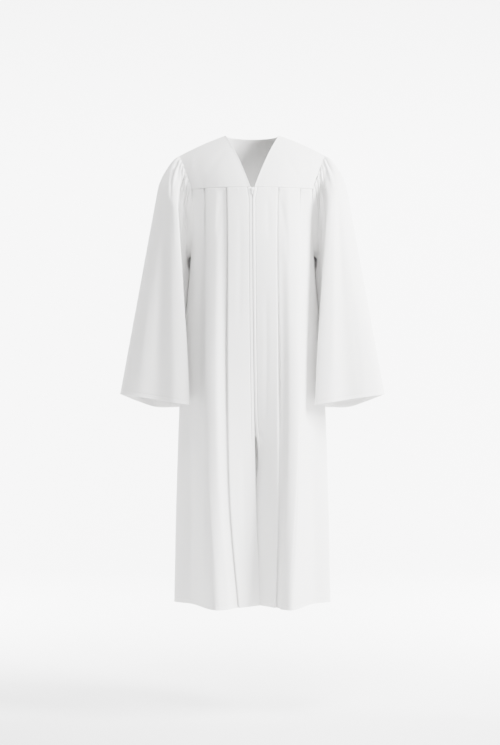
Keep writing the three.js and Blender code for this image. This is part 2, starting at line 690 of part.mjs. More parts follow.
// The slider's plate fills the gap between the front edges and lies on the teeth. Its own frame is
// on the middle of its back, with +Z up the zip.
function zipSlider() {
  const { halfWidth, halfFoot, halfWaist, halfHip, up, down, corner, thick } = SLIDER;
  const outline = new THREE.Shape();
  outline.moveTo(-halfFoot, -down);
  outline.lineTo(halfFoot, -down);
  outline.quadraticCurveTo(halfHip, corner - down, halfWaist, 0);
  outline.lineTo(halfWidth, up - corner);
  outline.quadraticCurveTo(halfWidth, up, halfWidth - corner, up);
  outline.lineTo(corner - halfWidth, up);
  outline.quadraticCurveTo(-halfWidth, up, -halfWidth, up - corner);
  outline.lineTo(-halfWaist, 0);
  outline.quadraticCurveTo(-halfHip, corner - down, -halfFoot, -down);
  const plate = extruded(outline, thick).rotateX(Math.PI / 2);

  const { width, half, bar, height, root } = BRIDGE;
  const arch = new THREE.Shape();
  arch.moveTo(-root, -half);
  arch.lineTo(height - bar, -half);
  arch.quadraticCurveTo(height, -half, height, bar - half);
  arch.lineTo(height, half - bar);
  arch.quadraticCurveTo(height, half, height - bar, half);
  arch.lineTo(-root, half);
  arch.lineTo(-root, half - bar);
  arch.lineTo(height - bar, half - bar);
  arch.lineTo(height - bar, bar - half);
  arch.lineTo(-root, bar - half);
  const bridge = extruded(arch, width);
  const basis = new THREE.Matrix4().makeBasis(
    new THREE.Vector3(0, -1, 0),
    new THREE.Vector3(0, 0, 1),
    new THREE.Vector3(-1, 0, 0),
  );
  bridge.applyMatrix4(basis).translate(width / 2, -thick, 0);
  return geometryOf(solid(plate).add(solid(bridge)));
}

// The pull tab's eye goes round the slider's bridge. It hangs from the middle of its top bar.
function zipPull() {
  const { half, foot, length, thick, eyeHalf, eyeEnd } = PULL;
  const bar = thick / 2;
  const outline = new THREE.Shape();
  outline.moveTo(-half, -bar);
  outline.lineTo(-foot, -length + foot);
  outline.quadraticCurveTo(-foot, -length, 0, -length);
  outline.quadraticCurveTo(foot, -length, foot, -length + foot);
  outline.lineTo(half, -bar);
  outline.quadraticCurveTo(half, bar, half - bar, bar);
  outline.lineTo(bar - half, bar);
  outline.quadraticCurveTo(-half, bar, -half, -bar);
  const eye = new THREE.Path();
  eye.moveTo(-eyeHalf, -bar);
  eye.lineTo(eyeHalf, -bar);
  eye.lineTo(eyeHalf, -eyeEnd);
  eye.lineTo(-eyeHalf, -eyeEnd);
  outline.holes.push(eye);
  return extruded(outline, thick).rotateX(Math.PI / 2).translate(0, thick / 2, 0);
}

const cloth = new THREE.MeshStandardMaterial({ color: WHITE, roughness: 0.85, metalness: 0 });
const zipCloth = new THREE.MeshStandardMaterial({ color: WHITE, roughness: 0.8, metalness: 0 });
const zipPlastic = new THREE.MeshStandardMaterial({ color: ZIP_WHITE, roughness: 0.4, metalness: 0 });
function piece(name, geometry, material = cloth) {
  const mesh = new THREE.Mesh(geometry, material);
  mesh.name = name;
  return mesh;
}

const robe = new THREE.Group();
robe.add(piece('front_yoke_right', frontYoke(-1)));
robe.add(piece('front_yoke_left', frontYoke(1)));
robe.add(piece('back_yoke', backYoke()));
robe.add(piece('front_right', bodyPanel(panelColumns(ring, 0, SIDE))));
robe.add(piece('back', bodyPanel(panelColumns(ring, SIDE, LAST - SIDE))));
robe.add(piece('front_left', bodyPanel(panelColumns(ring, LAST - SIDE, LAST))));
robe.add(piece('sleeve_right', sleeve(-1)));
robe.add(piece('sleeve_left', sleeve(1)));
robe.add(piece('zip_tape_right', zipTape(-1), zipCloth));
robe.add(piece('zip_tape_left', zipTape(1), zipCloth));
robe.add(piece('zip_chain', zipChain(), zipPlastic));

const slider = piece('zip_slider', zipSlider(), zipPlastic);
const sliderPlace = zipLine(0, SLIDER_SHARE);
slider.position.copy(sliderPlace).add(new THREE.Vector3(0, CLOTH / 2, 0));
slider.rotation.x = -Math.atan2(zipLine(0, 0).y - zipLine(1, 0).y, ZIP_HEIGHTS[0] - ZIP_HEIGHTS[1]);
robe.add(slider);

const pull = piece('zip_pull', zipPull(), zipPlastic);
pull.position.set(0, -SLIDER.thick - PULL.axis, 0);
slider.add(pull);

export default robe;
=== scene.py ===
import math

import bpy
import numpy as np
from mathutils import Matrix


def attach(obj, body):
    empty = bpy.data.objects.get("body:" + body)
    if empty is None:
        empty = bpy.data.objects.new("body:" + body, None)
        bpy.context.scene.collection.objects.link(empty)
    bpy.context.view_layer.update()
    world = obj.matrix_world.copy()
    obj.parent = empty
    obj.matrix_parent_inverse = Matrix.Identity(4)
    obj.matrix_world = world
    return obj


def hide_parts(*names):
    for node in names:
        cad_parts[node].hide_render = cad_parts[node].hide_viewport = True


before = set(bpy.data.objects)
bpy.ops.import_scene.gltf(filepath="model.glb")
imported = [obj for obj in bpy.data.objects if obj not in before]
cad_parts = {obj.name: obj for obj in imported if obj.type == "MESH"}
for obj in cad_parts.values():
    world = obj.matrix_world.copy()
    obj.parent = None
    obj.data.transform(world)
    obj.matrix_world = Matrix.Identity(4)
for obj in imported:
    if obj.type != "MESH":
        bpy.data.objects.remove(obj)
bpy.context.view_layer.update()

# Sizes are in millimetres, as in the solid part, and become metres when a mesh is made.
MM = 0.001
FRONT_YOKE_Z = -141
BACK_YOKE_Z = -150
ARMPIT_Z = -300
HEM_Z = -1172
SEAM_GAP = 0.3
NECK_HALF_WIDTH = 67
NECK_BACK = (58, -2)
SHOULDER_TIP = (186, 6, -52)
SHOULDER_RISE = 3

# The heights at which the body's sections are given, and how far its front edges have drifted.
LEVELS = [FRONT_YOKE_Z, -290, -600, -900, HEM_Z]
SWAY = [0, 0.5, 3.5, 9.5, 19.5]
SWAY_REACH = 62
UNDERLAP = dict(hem=9, start=-765)
SLIT = dict(opens=3.8, at=-804, half=60)
EDGE_GAP = dict(zip=1.0, slider=5.0, start=-142, end=-172)

# Lines down one half of the body from the zip to the centre back: a name, then x and y at each level.
GUIDES = [
    ("front edge", (0, -112), (0, -134), (0, -125), (0, -103), (0, -74)),
    ("front panel", (30, -111), (30, -134), (31, -130), (28, -118), (22, -96)),
    ("inner pleat", (62, -106), (60, -131), (61, -134), (58, -134), (43, -118)),
    ("second panel", (90, -97), (90, -124), (91, -139), (84, -148), (67, -150)),
    ("outer pleat", (117, -84), (117, -109), (116, -128), (110, -144), (92, -161)),
    ("front corner", (150, -60), (145, -66), (153, -54), (152, -58), (149, -48)),
    ("side seam", (151, 4), (153, 4), (179, 0), (191, 0), (197, 2)),
    ("back corner", (150, 62), (147, 68), (160, 62), (160, 58), (154, 52)),
    ("outer back pleat", (112, 88), (116, 102), (122, 120), (122, 142), (112, 164)),
    ("back panel", (86, 98), (88, 112), (92, 118), (88, 120), (82, 118)),
    ("inner back pleat", (58, 104), (60, 120), (62, 132), (58, 148), (48, 168)),
    ("centre back panel", (28, 108), (30, 123), (30, 128), (27, 128), (24, 124)),
    ("centre back", (0, 109), (0, 124), (0, 127), (0, 134), (0, 142)),
]
NAMES = [row[0] for row in GUIDES]
CORNER = NAMES.index("front corner")
SIDE = NAMES.index("side seam")
BACK_CORNER = NAMES.index("back corner")
CENTRE_BACK = NAMES.index("centre back")
LAST = 2 * CENTRE_BACK

# Knife pleats: the fold's line, the way to its lower layer, the cloth in it, and at each level how
# far the cloth doubles back and how far it steps inwards.
PLEATS = [
    ("inner pleat", 1, 30, (15, 15, 13.5, 11.5, 9), (1.1, 4.2, 5, 5.6, 6.2)),
    ("outer pleat", 1, 30, (15, 14, 7, 2, 0), (0.9, 6.5, 7, 3, 0)),
    ("outer back pleat", -1, 30, (15, 13, 6, 2, 0), (0.9, 4.6, 5, 2, 0)),
    ("inner back pleat", -1, 30, (15, 14, 10, 6, 3), (1.1, 4, 5, 5.4, 5)),
]
STEP_INWARDS = dict(first=0.2, second=0.6, length=0.2)
# How soon a step opens below the yoke, and the groove that leaves a dark line by a pressed edge.
STEP_SOON = dict(rise=3.4, opens=14, at=40, half=70)
FOLD_GROOVE = dict(at=1.3, half=2.5, depth=8.0, swing=4, top=8, end=-620, fade=150)

# The sleeve's rings: the place round the armhole seam from the shoulder, the head and the cuff.
SLEEVE = [
    (0.000, (238, 3, -138), (331, -4, -650)),
    (0.012, (234, -38, -146), (322, -60, -651)),
    (0.026, (222, -64, -160), (282, -84, -656)),
    (0.044, (211, -78, -174), (232, -92, -663)),
    (0.068, (200, -88, -188), (188, -112, -670)),
    (0.110, (189, -91, -202), (157, -106, -675)),
    (0.200, (177, -54, -224), (168, -66, -676)),
    (0.310, (168, -22, -268), (184, -32, -677)),
    (0.500, (168, 10, -322), (203, 8, -678)),
    (0.690, (160, 50, -268), (176, 66, -681)),
    (0.800, (157, 80, -234), (158, 104, -683)),
    (0.890, (157, 100, -208), (150, 128, -683)),
    (0.932, (184, 100, -192), (200, 144, -686)),
    (0.956, (203, 88, -176), (250, 118, -685)),
    (0.974, (219, 68, -160), (292, 122, -672)),
    (0.988, (234, 38, -146), (326, 62, -656)),
]
HEAD_SHARE = 0.16
YOKE_SHARE = 0.32
PUFF = dict(shoulder=39.1, fall=85, least=8)

# Gathers in half a sleeve's head, from the shoulder down: how high each stands and how far it runs.
GATHERS = [(2.6, 70), (3.2, 110), (2.2, 60), (3.4, 150), (2.6, 80), (3.6, 190), (2.8, 100), (3.0, 230)]
GATHER_PITCH = 0.0425
GATHER_RISE = 12
GATHER_SHOW = 1.95

FRONT_FALL = dict(leave=(0.85, 1.35, 0.62), arrive=(1.05, 0.42, 1.3))
BACK_FALL = dict(leave=(0.85, 1.3, 0.55), arrive=(1.05, 0.35, 1.25))
BACK_NECK_SHARE = 0.4

# Soft creases of the front yokes, by side, as for the body.
YOKE_CREASES = {
    -1: [(-0.8, 9, [(-70, -46), (-104, -92), (-134, -128)]), (0.7, 7, [(-148, -50), (-150, -92)])],
    1: [(-0.7, 8, [(78, -52), (106, -100), (120, -132)]), (0.6, 7, [(146, -48), (151, -96)])],
}

# Cloth as it is shown: half its thickness, and how much thicker its turned hems are.
HALF_CLOTH = 0.45
HEM = dict(body=9.0, cuff=7.5, extra=0.8, groove=0.6, lip=0.7)
# How far the body's top goes in under the yoke and over what fall, and the yoke's rolled edges.
YOKE_EXTRA = 0.3
YOKE_PUCKERS = 10
YOKE_TUCK = dict(body=0.9, fall=3.5)
ROLL = dict(neck=0.55, neck_at=0.8, neck_width=1.7, seam=0.5, seam_width=0.9)
ROLL.update(swell=0.3, swell_at=2.6, swell_width=1.8)

# The zip, its slider with a bridge and its pull tab, as in the solid part.
CLOTH = 1.4
ZIP_TOP = FRONT_YOKE_Z - SEAM_GAP / 2
ZIP_END_SHARE = 0.593
ZIP = dict(tape=0.6, front=1.0, under=3.2, tooth=1.4, teeth_back=1, bend=30)
SLIDER = dict(z=-147, up=4.6, down=5, thick=2.6, corner=1.4, bevel=0.55, lean_over=30.9)
SLIDER.update(half_width=3.9, half_waist=3.7, half_hip=2.8, half_foot=2.4)
BRIDGE = dict(width=1.8, half=3.2, bar=0.9, height=2.95, root=0.3, leg=0.9, bend=1.4)
PULL = dict(half=2.2, foot=1.7, length=13, thick=1.2, bevel=0.28, eye_half=1.35, eye_end=4.2, axis=1.05)
GRIP = dict(half_width=0.9, half_height=0.5, thick=0.5, bevel=0.12, heights=(-7.2, -8.4, -9.6, -10.8))

COARSE = 1


def ease(t):
    t = np.clip(t, 0, 1)
    return t * t * (3 - 2 * t)


def mix(a, b, t):
    return a + (b - a) * t


def bump(distance, width):
    return np.exp(-((distance / width) ** 2))


def unit(vectors):
    return vectors / np.maximum(np.linalg.norm(vectors, axis=-1, keepdims=True), 1e-9)


def between(start, leave, end, arrive, t):
    """A smooth way from start to end that leaves and arrives as given, at the shares t."""
    first = start * (1 + 2 * t) * (1 - t) ** 2 + leave * t * (1 - t) ** 2
    return first + end * t * t * (3 - 2 * t) + arrive * t * t * (t - 1)


def through(values, z):
    """A smooth value through a table with one entry for each level, at the heights z."""
    places = np.array(LEVELS, float)
    values = np.array(values, float)
    z = np.minimum(z, FRONT_YOKE_Z + 1)
    i = np.clip(np.searchsorted(-places, -z) - 1, 0, len(places) - 2)
    before = np.clip(np.arange(len(places)) - 1, 0, None)
    after = np.clip(np.arange(len(places)) + 1, None, len(places) - 1)
    slope = (values[after] - values[before]) / (places[after] - places[before])
    span = places[i + 1] - places[i]
    t = (z - places[i]) / span
    curve = between(values[i], slope[i] * span, values[i + 1], slope[i + 1] * span, t)
    return np.where(t < 0, values[i] + slope[i] * (z - places[i]), curve)


def edge_gap(z):
    start, end = EDGE_GAP["start"], EDGE_GAP["end"]
    return mix(EDGE_GAP["slider"], EDGE_GAP["zip"], ease((start - z) / (start - end)))


def ring_guide(index, z):
    """The plan places, at the heights z, of one of the lines round the whole body."""
    side = -1 if index <= CENTRE_BACK else 1
    row = GUIDES[index if index <= CENTRE_BACK else LAST - index][1:]
    x = side * through([p[0] for p in row], z)
    y = through([p[1] for p in row], z)
    x = x + np.where(y < 0, through(SWAY, z) * bump(x, SWAY_REACH), 0)
    if index == 0:
        x = x - edge_gap(z)
    if index == LAST:
        lower = np.clip((UNDERLAP["start"] - z) / (UNDERLAP["start"] - HEM_Z), 0, 1)
        opened = 2 * SLIT["opens"] * bump(z - SLIT["at"], SLIT["half"])
        x = x + edge_gap(z) - UNDERLAP["hem"] * lower + opened
        y = y + UNDERLAP["hem"] * ease(6 * lower)
    return np.stack([x, y], -1)


SAMPLES = 20


def curved(a, b, c, d, u, v, w, t):
    """A centripetal curve from b to c at the shares t, steered by a and d, from the steps' roots."""
    leave = ((b - a) / u - (c - a) / (u + v) + (c - b) / v) * v
    reach = ((c - b) / v - (d - b) / (v + w) + (d - c) / w) * v
    square = -3 * b + 3 * c - 2 * leave - reach
    cube = 2 * b - 2 * c + leave + reach
    return b + t * leave + t**2 * square + t**3 * cube


def spline(p, samples):
    """Points along a centripetal curve through p, whose first and last points only steer it."""
    step = np.maximum(np.linalg.norm(np.diff(p, axis=0), axis=-1, keepdims=True) ** 0.5, 1e-6)
    t = (np.arange(samples) / samples).reshape((-1,) + (1,) * (p.ndim - 1))
    pieces = [curved(*p[s : s + 4], *step[s : s + 3], t) for s in range(len(p) - 3)]
    pieces.append(p[-2][None])
    return np.concatenate(pieces)


def outline(z):
    """The body's outline at each height in z, with the length along it from the right front edge."""
    guides = np.array([ring_guide(i, z) for i in range(LAST + 1)])
    first = 2 * guides[:1] - guides[1:2]
    last = 2 * guides[-1:] - guides[-2:-1]
    points = spline(np.concatenate([first, guides, last]), SAMPLES)
    steps = np.linalg.norm(np.diff(points, axis=0), axis=-1)
    lengths = np.concatenate([np.zeros((1, len(z))), np.cumsum(steps, axis=0)])
    return points, lengths


def on_outline(shape, length, out):
    """Points at lengths along the outlines, moved out. Rows are columns of cloth, columns heights."""
    points, lengths = shape
    made = np.empty(length.shape + (2,))
    for m in range(length.shape[1]):
        table = lengths[:, m]
        i = np.clip(np.searchsorted(table, length[:, m]), 1, len(table) - 1)
        before = points[i - 1, m]
        along = points[i, m] - before
        along = along / np.linalg.norm(along, axis=1, keepdims=True)
        outwards = np.stack([-along[:, 1], along[:, 0]], 1)
        made[:, m] = before + along * (length[:, m] - table[i - 1])[:, None] + out[:, m, None] * outwards
    return made


RING_PLEATS = {}
for pleat_name, under, cloth, swing, step in PLEATS:
    at = NAMES.index(pleat_name)
    RING_PLEATS[at] = (under, cloth, swing, step)
    RING_PLEATS[LAST - at] = (-under, cloth, swing, step)


def fold_along(index, q, z):
    """How far along the outline past its line a pleat's cloth lies, at the share q of the fold."""
    under, cloth, swing, _ = RING_PLEATS[index]
    swing = through(swing, z)
    turn = np.clip(-cloth / (2 * math.pi * np.maximum(swing, 0.01)), -1, 1)
    edge = np.where(2 * math.pi * swing > cloth, np.arccos(turn) / (2 * math.pi), 0.5)

    def wave(share):
        return cloth * (share - 0.5) + swing * np.sin(2 * math.pi * share)

    return under * (wave(q) - wave(edge))


def body_top(folded):
    """The height at which the cloth begins, at a place from the zip at 0 to the centre back."""
    if folded <= CORNER:
        return FRONT_YOKE_Z
    if folded <= SIDE:
        return mix(FRONT_YOKE_Z, ARMPIT_Z, math.sqrt(1 - (SIDE - folded) ** 2))
    if folded <= BACK_CORNER:
        return mix(BACK_YOKE_Z, ARMPIT_Z, math.sqrt(1 - (folded - SIDE) ** 2))
    return BACK_YOKE_Z


# Where the columns lie between a front edge and the next line, closest at the placket's stitches.
EDGE_COLUMNS = [0.02, 0.05, 0.1, 0.15, 0.17, 0.19, 0.21, 0.23, 0.25, 0.27, 0.29, 0.31, 0.34, 0.38]
EDGE_COLUMNS += [0.45, 0.55, 0.67, 0.8, 0.92]
# Stretches of a fold's columns: the first share, the last share and how many. Its edges have most.
FOLD_COLUMNS = [(0, 0.5, 20), (0.54, 0.88, 8), (0.905, 1, 14)]


def body_columns():
    """Every column round the body: (line, share of the way to the next, share of a fold or None)."""
    folds = np.concatenate([np.linspace(first, last, n // COARSE) for first, last, n in FOLD_COLUMNS])
    columns = []
    for guide in range(LAST):
        if guide in RING_PLEATS:
            turned = folds if RING_PLEATS[guide][0] > 0 else folds[::-1]
            columns += [(guide, 0.0, q) for q in turned]
        else:
            columns.append((guide, 0.0, None))
        folded = min(guide, LAST - 1 - guide)
        if folded == 0:
            shares = EDGE_COLUMNS[::COARSE]
            shares = shares if guide == 0 else [round(1 - e, 4) for e in shares[::-1]]
        else:
            count = max(3, (14 if folded in (CORNER, SIDE) else 7) // COARSE)
            shares = [k / count for k in range(1, count)]
        columns += [(guide, share, None) for share in shares]
    columns.append((LAST - 1, 1.0, None))
    return columns


def step_at(step, z):
    """A pleat's step inwards at the heights z: it opens soon below the seam that holds it flat."""
    fall = FRONT_YOKE_Z - z
    soon = STEP_SOON["rise"] * ease(fall / STEP_SOON["opens"])
    return through(step, z) + soon * bump(fall - STEP_SOON["at"], STEP_SOON["half"])


def fold_groove(guide, q, z, along):
    """How far the cloth under a pleat's pressed edge sinks, which leaves a dark line beside it."""
    under, _, swing, _ = RING_PLEATS[guide]
    row = FOLD_GROOVE
    past = under * along
    firm = ease((through(swing, z) - row["swing"]) / row["swing"]) * ease((FRONT_YOKE_Z - z) / row["top"])
    firm = firm * (1 - ease((row["end"] - z) / row["fade"]))
    beside = bump(past - row["at"], row["half"]) * ease((q - 0.6) / 0.2)
    return row["depth"] * firm * beside


def body_lengths(column, z, lengths):
    """Where one column lies along the outline at the heights z, and how far it is stepped inwards."""
    guide, share, q = column
    here = lengths[guide * SAMPLES]
    if q is not None:
        _, _, _, step = RING_PLEATS[guide]
        first = ease((q - STEP_INWARDS["first"]) / STEP_INWARDS["length"])
        second = ease((q - STEP_INWARDS["second"]) / STEP_INWARDS["length"])
        along = fold_along(guide, q, z)
        return here + along, -step_at(step, z) * (first + second) / 2 - fold_groove(guide, q, z, along)
    there = lengths[(guide + 1) * SAMPLES]
    out = np.zeros(len(z))
    if guide in RING_PLEATS:
        under, _, _, step = RING_PLEATS[guide]
        here = here + fold_along(guide, 1 if under > 0 else 0, z)
        out = out - (step_at(step, z) * (1 - ease(share)) if under > 0 else 0)
    if guide + 1 in RING_PLEATS:
        under, _, _, step = RING_PLEATS[guide + 1]
        there = there + fold_along(guide + 1, 0 if under > 0 else 1, z)
        out = out - (step_at(step, z) * ease(share) if under < 0 else 0)
    return mix(here, there, share), out


def normals_of(grid, closed=False):
    """The unit direction across a grid of points, rows down and columns round."""
    if closed:
        wide = np.concatenate([grid[:, -1:], grid, grid[:, :1]], 1)
        across = (wide[:, 2:] - wide[:, :-2]) / 2
    else:
        across = np.gradient(grid, axis=1)
    down = np.gradient(grid, axis=0)
    return unit(np.cross(down, across))


def near_path(u, v, path, width):
    """How much of a crease is felt at (u, v): 1 on its path, less beside it and at its ends."""
    best = np.zeros(np.shape(u))
    points = np.array(path, float)
    pieces = np.linalg.norm(np.diff(points, axis=0), axis=1)
    total = pieces.sum()
    before = 0.0
    for (a, b), length in zip(zip(points[:-1], points[1:]), pieces):
        along = (b - a) / length
        t = np.clip((u - a[0]) * along[0] + (v - a[1]) * along[1], 0, length)
        distance = np.hypot(u - a[0] - along[0] * t, v - a[1] - along[1] * t)
        share = (before + t) / total
        ends = np.sqrt(np.clip(4 * share * (1 - share), 0, 1))
        best = np.maximum(best, bump(distance, width) * ends)
        before += length
    return best


# Soft creases of the body's front, seen from the front: how far each stands out, or in when it is
# under 0, half its width, and its path in x and z.
FRONT_CREASES = [
    (-4.5, 2.4, [(-119.2, -112), (-118.6, -215), (-118, -310)]),
    (-1.2, 5, [(-81, -176), (-83, -213), (-86, -259)]),
    (-1.6, 6, [(-141, -159), (-139, -195), (-138, -244)]),
    (1.2, 5, [(-129, -154), (-128, -191)]),
    (-0.9, 7, [(-30, -188), (-29, -322), (-32, -493)]),
    (-1.3, 5, [(64, -164), (76, -205), (84, -261), (85, -327)]),
    (-1.0, 7, [(38, -166), (41, -274)]),
    (-1.0, 6, [(33, -396), (35, -542), (33, -713)]),
    (-2.6, 12, [(75, -310), (80, -493), (80, -738), (71, -957), (65, -1143)]),
    (1.3, 12, [(112, -322), (109, -713), (114, -957), (117, -1153)]),
    (0.8, 5, [(129, -176), (126, -298), (129, -420)]),
    (-2.2, 11, [(148, -738), (153, -957), (160, -1155)]),
    (-7.0, 12, [(-131, -250), (-134, -420), (-134, -640), (-133, -800)]),
    (-3.0, 10, [(-155, -738), (-152, -957), (-157, -1153)]),
    (1.6, 6, [(-116, -762), (-117, -957), (-118, -1148)]),
    (1.0, 9, [(-89, -616), (-86, -860), (-79, -1128)]),
    (-0.8, 6, [(-23, -762), (-20, -957), (-13, -1153)]),
    (-1.4, 8, [(38, -762), (36, -909), (33, -1092)]),
    (-0.8, 2.6, [(10, -740), (19, -747), (24, -762)]),
    (0.7, 2.6, [(13, -755), (22, -767)]),
]
# The same for the body's back.
BACK_CREASES = [
    (-1.2, 6, [(-24, -172), (-26, -260), (-22, -372)]),
    (-1.0, 7, [(12, -190), (10, -330), (14, -505)]),
    (-1.5, 6, [(133, -176), (131, -232), (126, -300)]),
    (-1.3, 5, [(-134, -170), (-130, -214), (-131, -262)]),
    (1.0, 9, [(86, -240), (89, -480), (84, -700)]),
    (-2.4, 12, [(92, -520), (88, -760), (82, -1010), (80, -1150)]),
    (-2.0, 11, [(-90, -440), (-87, -700), (-85, -930)]),
    (1.4, 12, [(-118, -620), (-122, -900), (-126, -1140)]),
    (1.2, 10, [(24, -640), (27, -880), (31, -1142)]),
    (-2.6, 13, [(146, -760), (150, -960), (155, -1150)]),
    (-2.2, 10, [(-150, -700), (-154, -900), (-152, -1120)]),
    (-1.1, 8, [(-14, -700), (-12, -960), (-17, -1150)]),
]
# The placket: how far its row of stitches is from each front edge, how far its strip stands out,
# where it ends, and how deep and wide the row's groove is.
PLACKET = dict(right=7.6, left=6.2, right_lift=0.45, left_lift=0.7, strip=1.6, end=-768, fade=40)
PLACKET.update(depth=1.5, width=1.0, columns=40)


def placket(length, total, z):
    """How far the stitched strips beside the front edges stand out, and the grooves beside them."""
    d = np.zeros(length.shape)
    for side, distance in (("right", length), ("left", total - length)):
        row = PLACKET[side]
        shown = ease((z - PLACKET["end"]) / PLACKET["fade"] + 0.5)
        strip = 1 - ease((distance - row + PLACKET["strip"]) / PLACKET["strip"])
        d += PLACKET[side + "_lift"] * strip * mix(0.35, 1, shown)
        d -= PLACKET["depth"] * bump(distance - row, PLACKET["width"]) * shown
    return d


def creased(rows, x, z):
    """How far the cloth stands out at (x, z) by a table of creases."""
    return sum(depth * near_path(x, z, path, width) for depth, width, path in rows)


def body_creases(x, y, z):
    return creased(FRONT_CREASES, x, z) * (y < 0) + creased(BACK_CREASES, x, z) * (y > 0)


def puckers(along, distance, seed, reach=8.0):
    """Small ripples that a row of stitches draws up in the cloth beside it."""
    rng = np.random.default_rng(seed)
    wave = np.zeros(np.shape(along))
    for pitch in (7.5, 11.0, 17.0, 29.0):
        wave = wave + np.sin(2 * math.pi * along / pitch * rng.uniform(0.9, 1.1) + rng.uniform(0, 6.3))
    return 0.11 * wave * bump(distance, reach)


def hem_form(drop, row):
    """The groove along a hem's stitches, and the lip at its edge."""
    return -HEM["groove"] * bump(drop - row, 1.1) + HEM["lip"] * (1 - ease(drop / 2.6))


def hem_extra(drop, row):
    """How much thicker the cloth is where its hem is turned, up to its row of stitches."""
    return HEM["extra"] * (1 - ease((drop - row + 0.6) / 0.9))


def body_rows():
    """Shares of the way from the top of the cloth to the hem, closer at both ends."""
    length = FRONT_YOKE_Z - HEM_Z
    top = [0, 0.6, 1.6, 3, 5, 8, 12, 17]
    low = [length - e for e in (24, 18, 13, 10.5, 9, 7.5, 5, 2.5, 0.7, 0)]
    count = 150 // COARSE
    return np.array(top + list(np.linspace(22, length - 30, count)) + low) / length


def body_surface():
    """The mid-surface grid of the whole body ring, its heights, and the lengths round it."""
    columns = body_columns()
    shares = body_rows()
    grid = np.empty((len(shares), len(columns), 3))
    round_length = np.empty(grid.shape[:2])
    groups = {}
    for k, (guide, share, q) in enumerate(columns):
        at = guide if q is not None else guide + share
        top = body_top(LAST - at if at > CENTRE_BACK else at)
        groups.setdefault(round(top, 4), []).append(k)
    for top, members in groups.items():
        z = mix(top - SEAM_GAP / 2, HEM_Z, shares)
        shape = outline(z)
        placed = [body_lengths(columns[k], z, shape[1]) for k in members]
        length = np.array([p[0] for p in placed])
        out = np.array([p[1] for p in placed])
        base = on_outline(shape, length, out)
        x, y = base[..., 0], base[..., 1]
        heights = np.broadcast_to(z, x.shape)
        fall = top - heights
        drop = heights - HEM_Z
        folded = np.array([columns[k][0] + columns[k][1] for k in members])
        folded = np.where(folded > CENTRE_BACK, LAST - folded, folded)
        at_yoke = ((folded <= CORNER) | (folded >= BACK_CORNER))[:, None]
        tuck = -YOKE_TUCK["body"] * (1 - ease(fall / YOKE_TUCK["fall"])) * at_yoke
        seams = [np.abs(length - shape[1][k * SAMPLES]) for k in (SIDE, LAST - SIDE)]
        tuck = tuck - 0.7 * bump(np.minimum(*seams), 1.6)
        groove = hem_form(drop, HEM["body"])
        ripple = puckers(length, drop - HEM["body"], 3) + puckers(length, fall, 5, 12) * at_yoke
        moved = out + body_creases(x, y, heights) + tuck + groove + ripple
        moved = moved + placket(length, shape[1][-1], heights)
        points = on_outline(shape, length, moved)
        for j, k in enumerate(members):
            grid[:, k, :2] = points[j]
            grid[:, k, 2] = z
            round_length[:, k] = length[j]
    return columns, grid, round_length


def over_shoulder(start, end, b, fall):
    """A curve that leaves the shoulder mostly across and reaches the seam mostly down."""
    reach = end - start
    leave = reach * np.array(fall["leave"])
    arrive = reach * np.array(fall["arrive"])
    return between(start, leave, end, arrive, np.asarray(b, float)[..., None])


def shoulder_point(side, share):
    share = np.asarray(share, float)
    x = side * mix(NECK_HALF_WIDTH, SHOULDER_TIP[0], share)
    y = mix(0, SHOULDER_TIP[1], share)
    z = mix(0, SHOULDER_TIP[2], share) + SHOULDER_RISE * np.sin(math.pi * share)
    return np.stack([x, y, z], -1)


SEAM_SHAPES = {z: outline(np.array([float(z)])) for z in (FRONT_YOKE_Z, BACK_YOKE_Z)}


def yoke_seam(side, share, start, end, z):
    shape = SEAM_SHAPES[z]
    lengths = shape[1][:, 0]
    first = lengths[(start if side < 0 else LAST - start) * SAMPLES]
    last = lengths[(end if side < 0 else LAST - end) * SAMPLES]
    length = mix(first, last, np.asarray(share, float))
    flat = on_outline(shape, length.reshape(-1, 1), np.zeros((length.size, 1)))[:, 0]
    return np.concatenate([flat, np.full((length.size, 1), float(z))], 1).reshape(length.shape + (3,))


def front_yoke_point(side, a, b):
    a, b = np.broadcast_arrays(np.asarray(a, float), np.asarray(b, float))
    end = yoke_seam(side, a, 0, CORNER, FRONT_YOKE_Z)
    return over_shoulder(shoulder_point(side, a), end, b, FRONT_FALL)


def back_yoke_point(side, a, b):
    a, b = np.broadcast_arrays(np.asarray(a, float), np.asarray(b, float))
    turn = math.pi / 2 * np.clip(a / BACK_NECK_SHARE, 0, 1)
    neck = np.stack(
        [side * NECK_HALF_WIDTH * np.sin(turn), NECK_BACK[0] * np.cos(turn), NECK_BACK[1] * np.cos(turn)],
        -1,
    )
    shoulder = shoulder_point(side, (a - BACK_NECK_SHARE) / (1 - BACK_NECK_SHARE))
    start = np.where((a <= BACK_NECK_SHARE)[..., None], neck, shoulder)
    end = yoke_seam(side, a, CENTRE_BACK, BACK_CORNER, BACK_YOKE_Z)
    return over_shoulder(start, end, b, BACK_FALL)


def frames_at(point, side, a, b, turn):
    """Places and outward directions of a yoke at one place across and many down, or the reverse."""
    near = 0.02
    over_a = point(side, np.minimum(a + near, 1), b) - point(side, np.maximum(a - near, 0), b)
    over_b = point(side, a, np.minimum(b + near, 1)) - point(side, a, np.maximum(b - near, 0))
    out = np.cross(over_a, over_b) * turn * side
    return point(side, a, b), unit(out)


ARMHOLE_SHARES = [0.04, 0.14, 0.3, 0.55, 0.8]


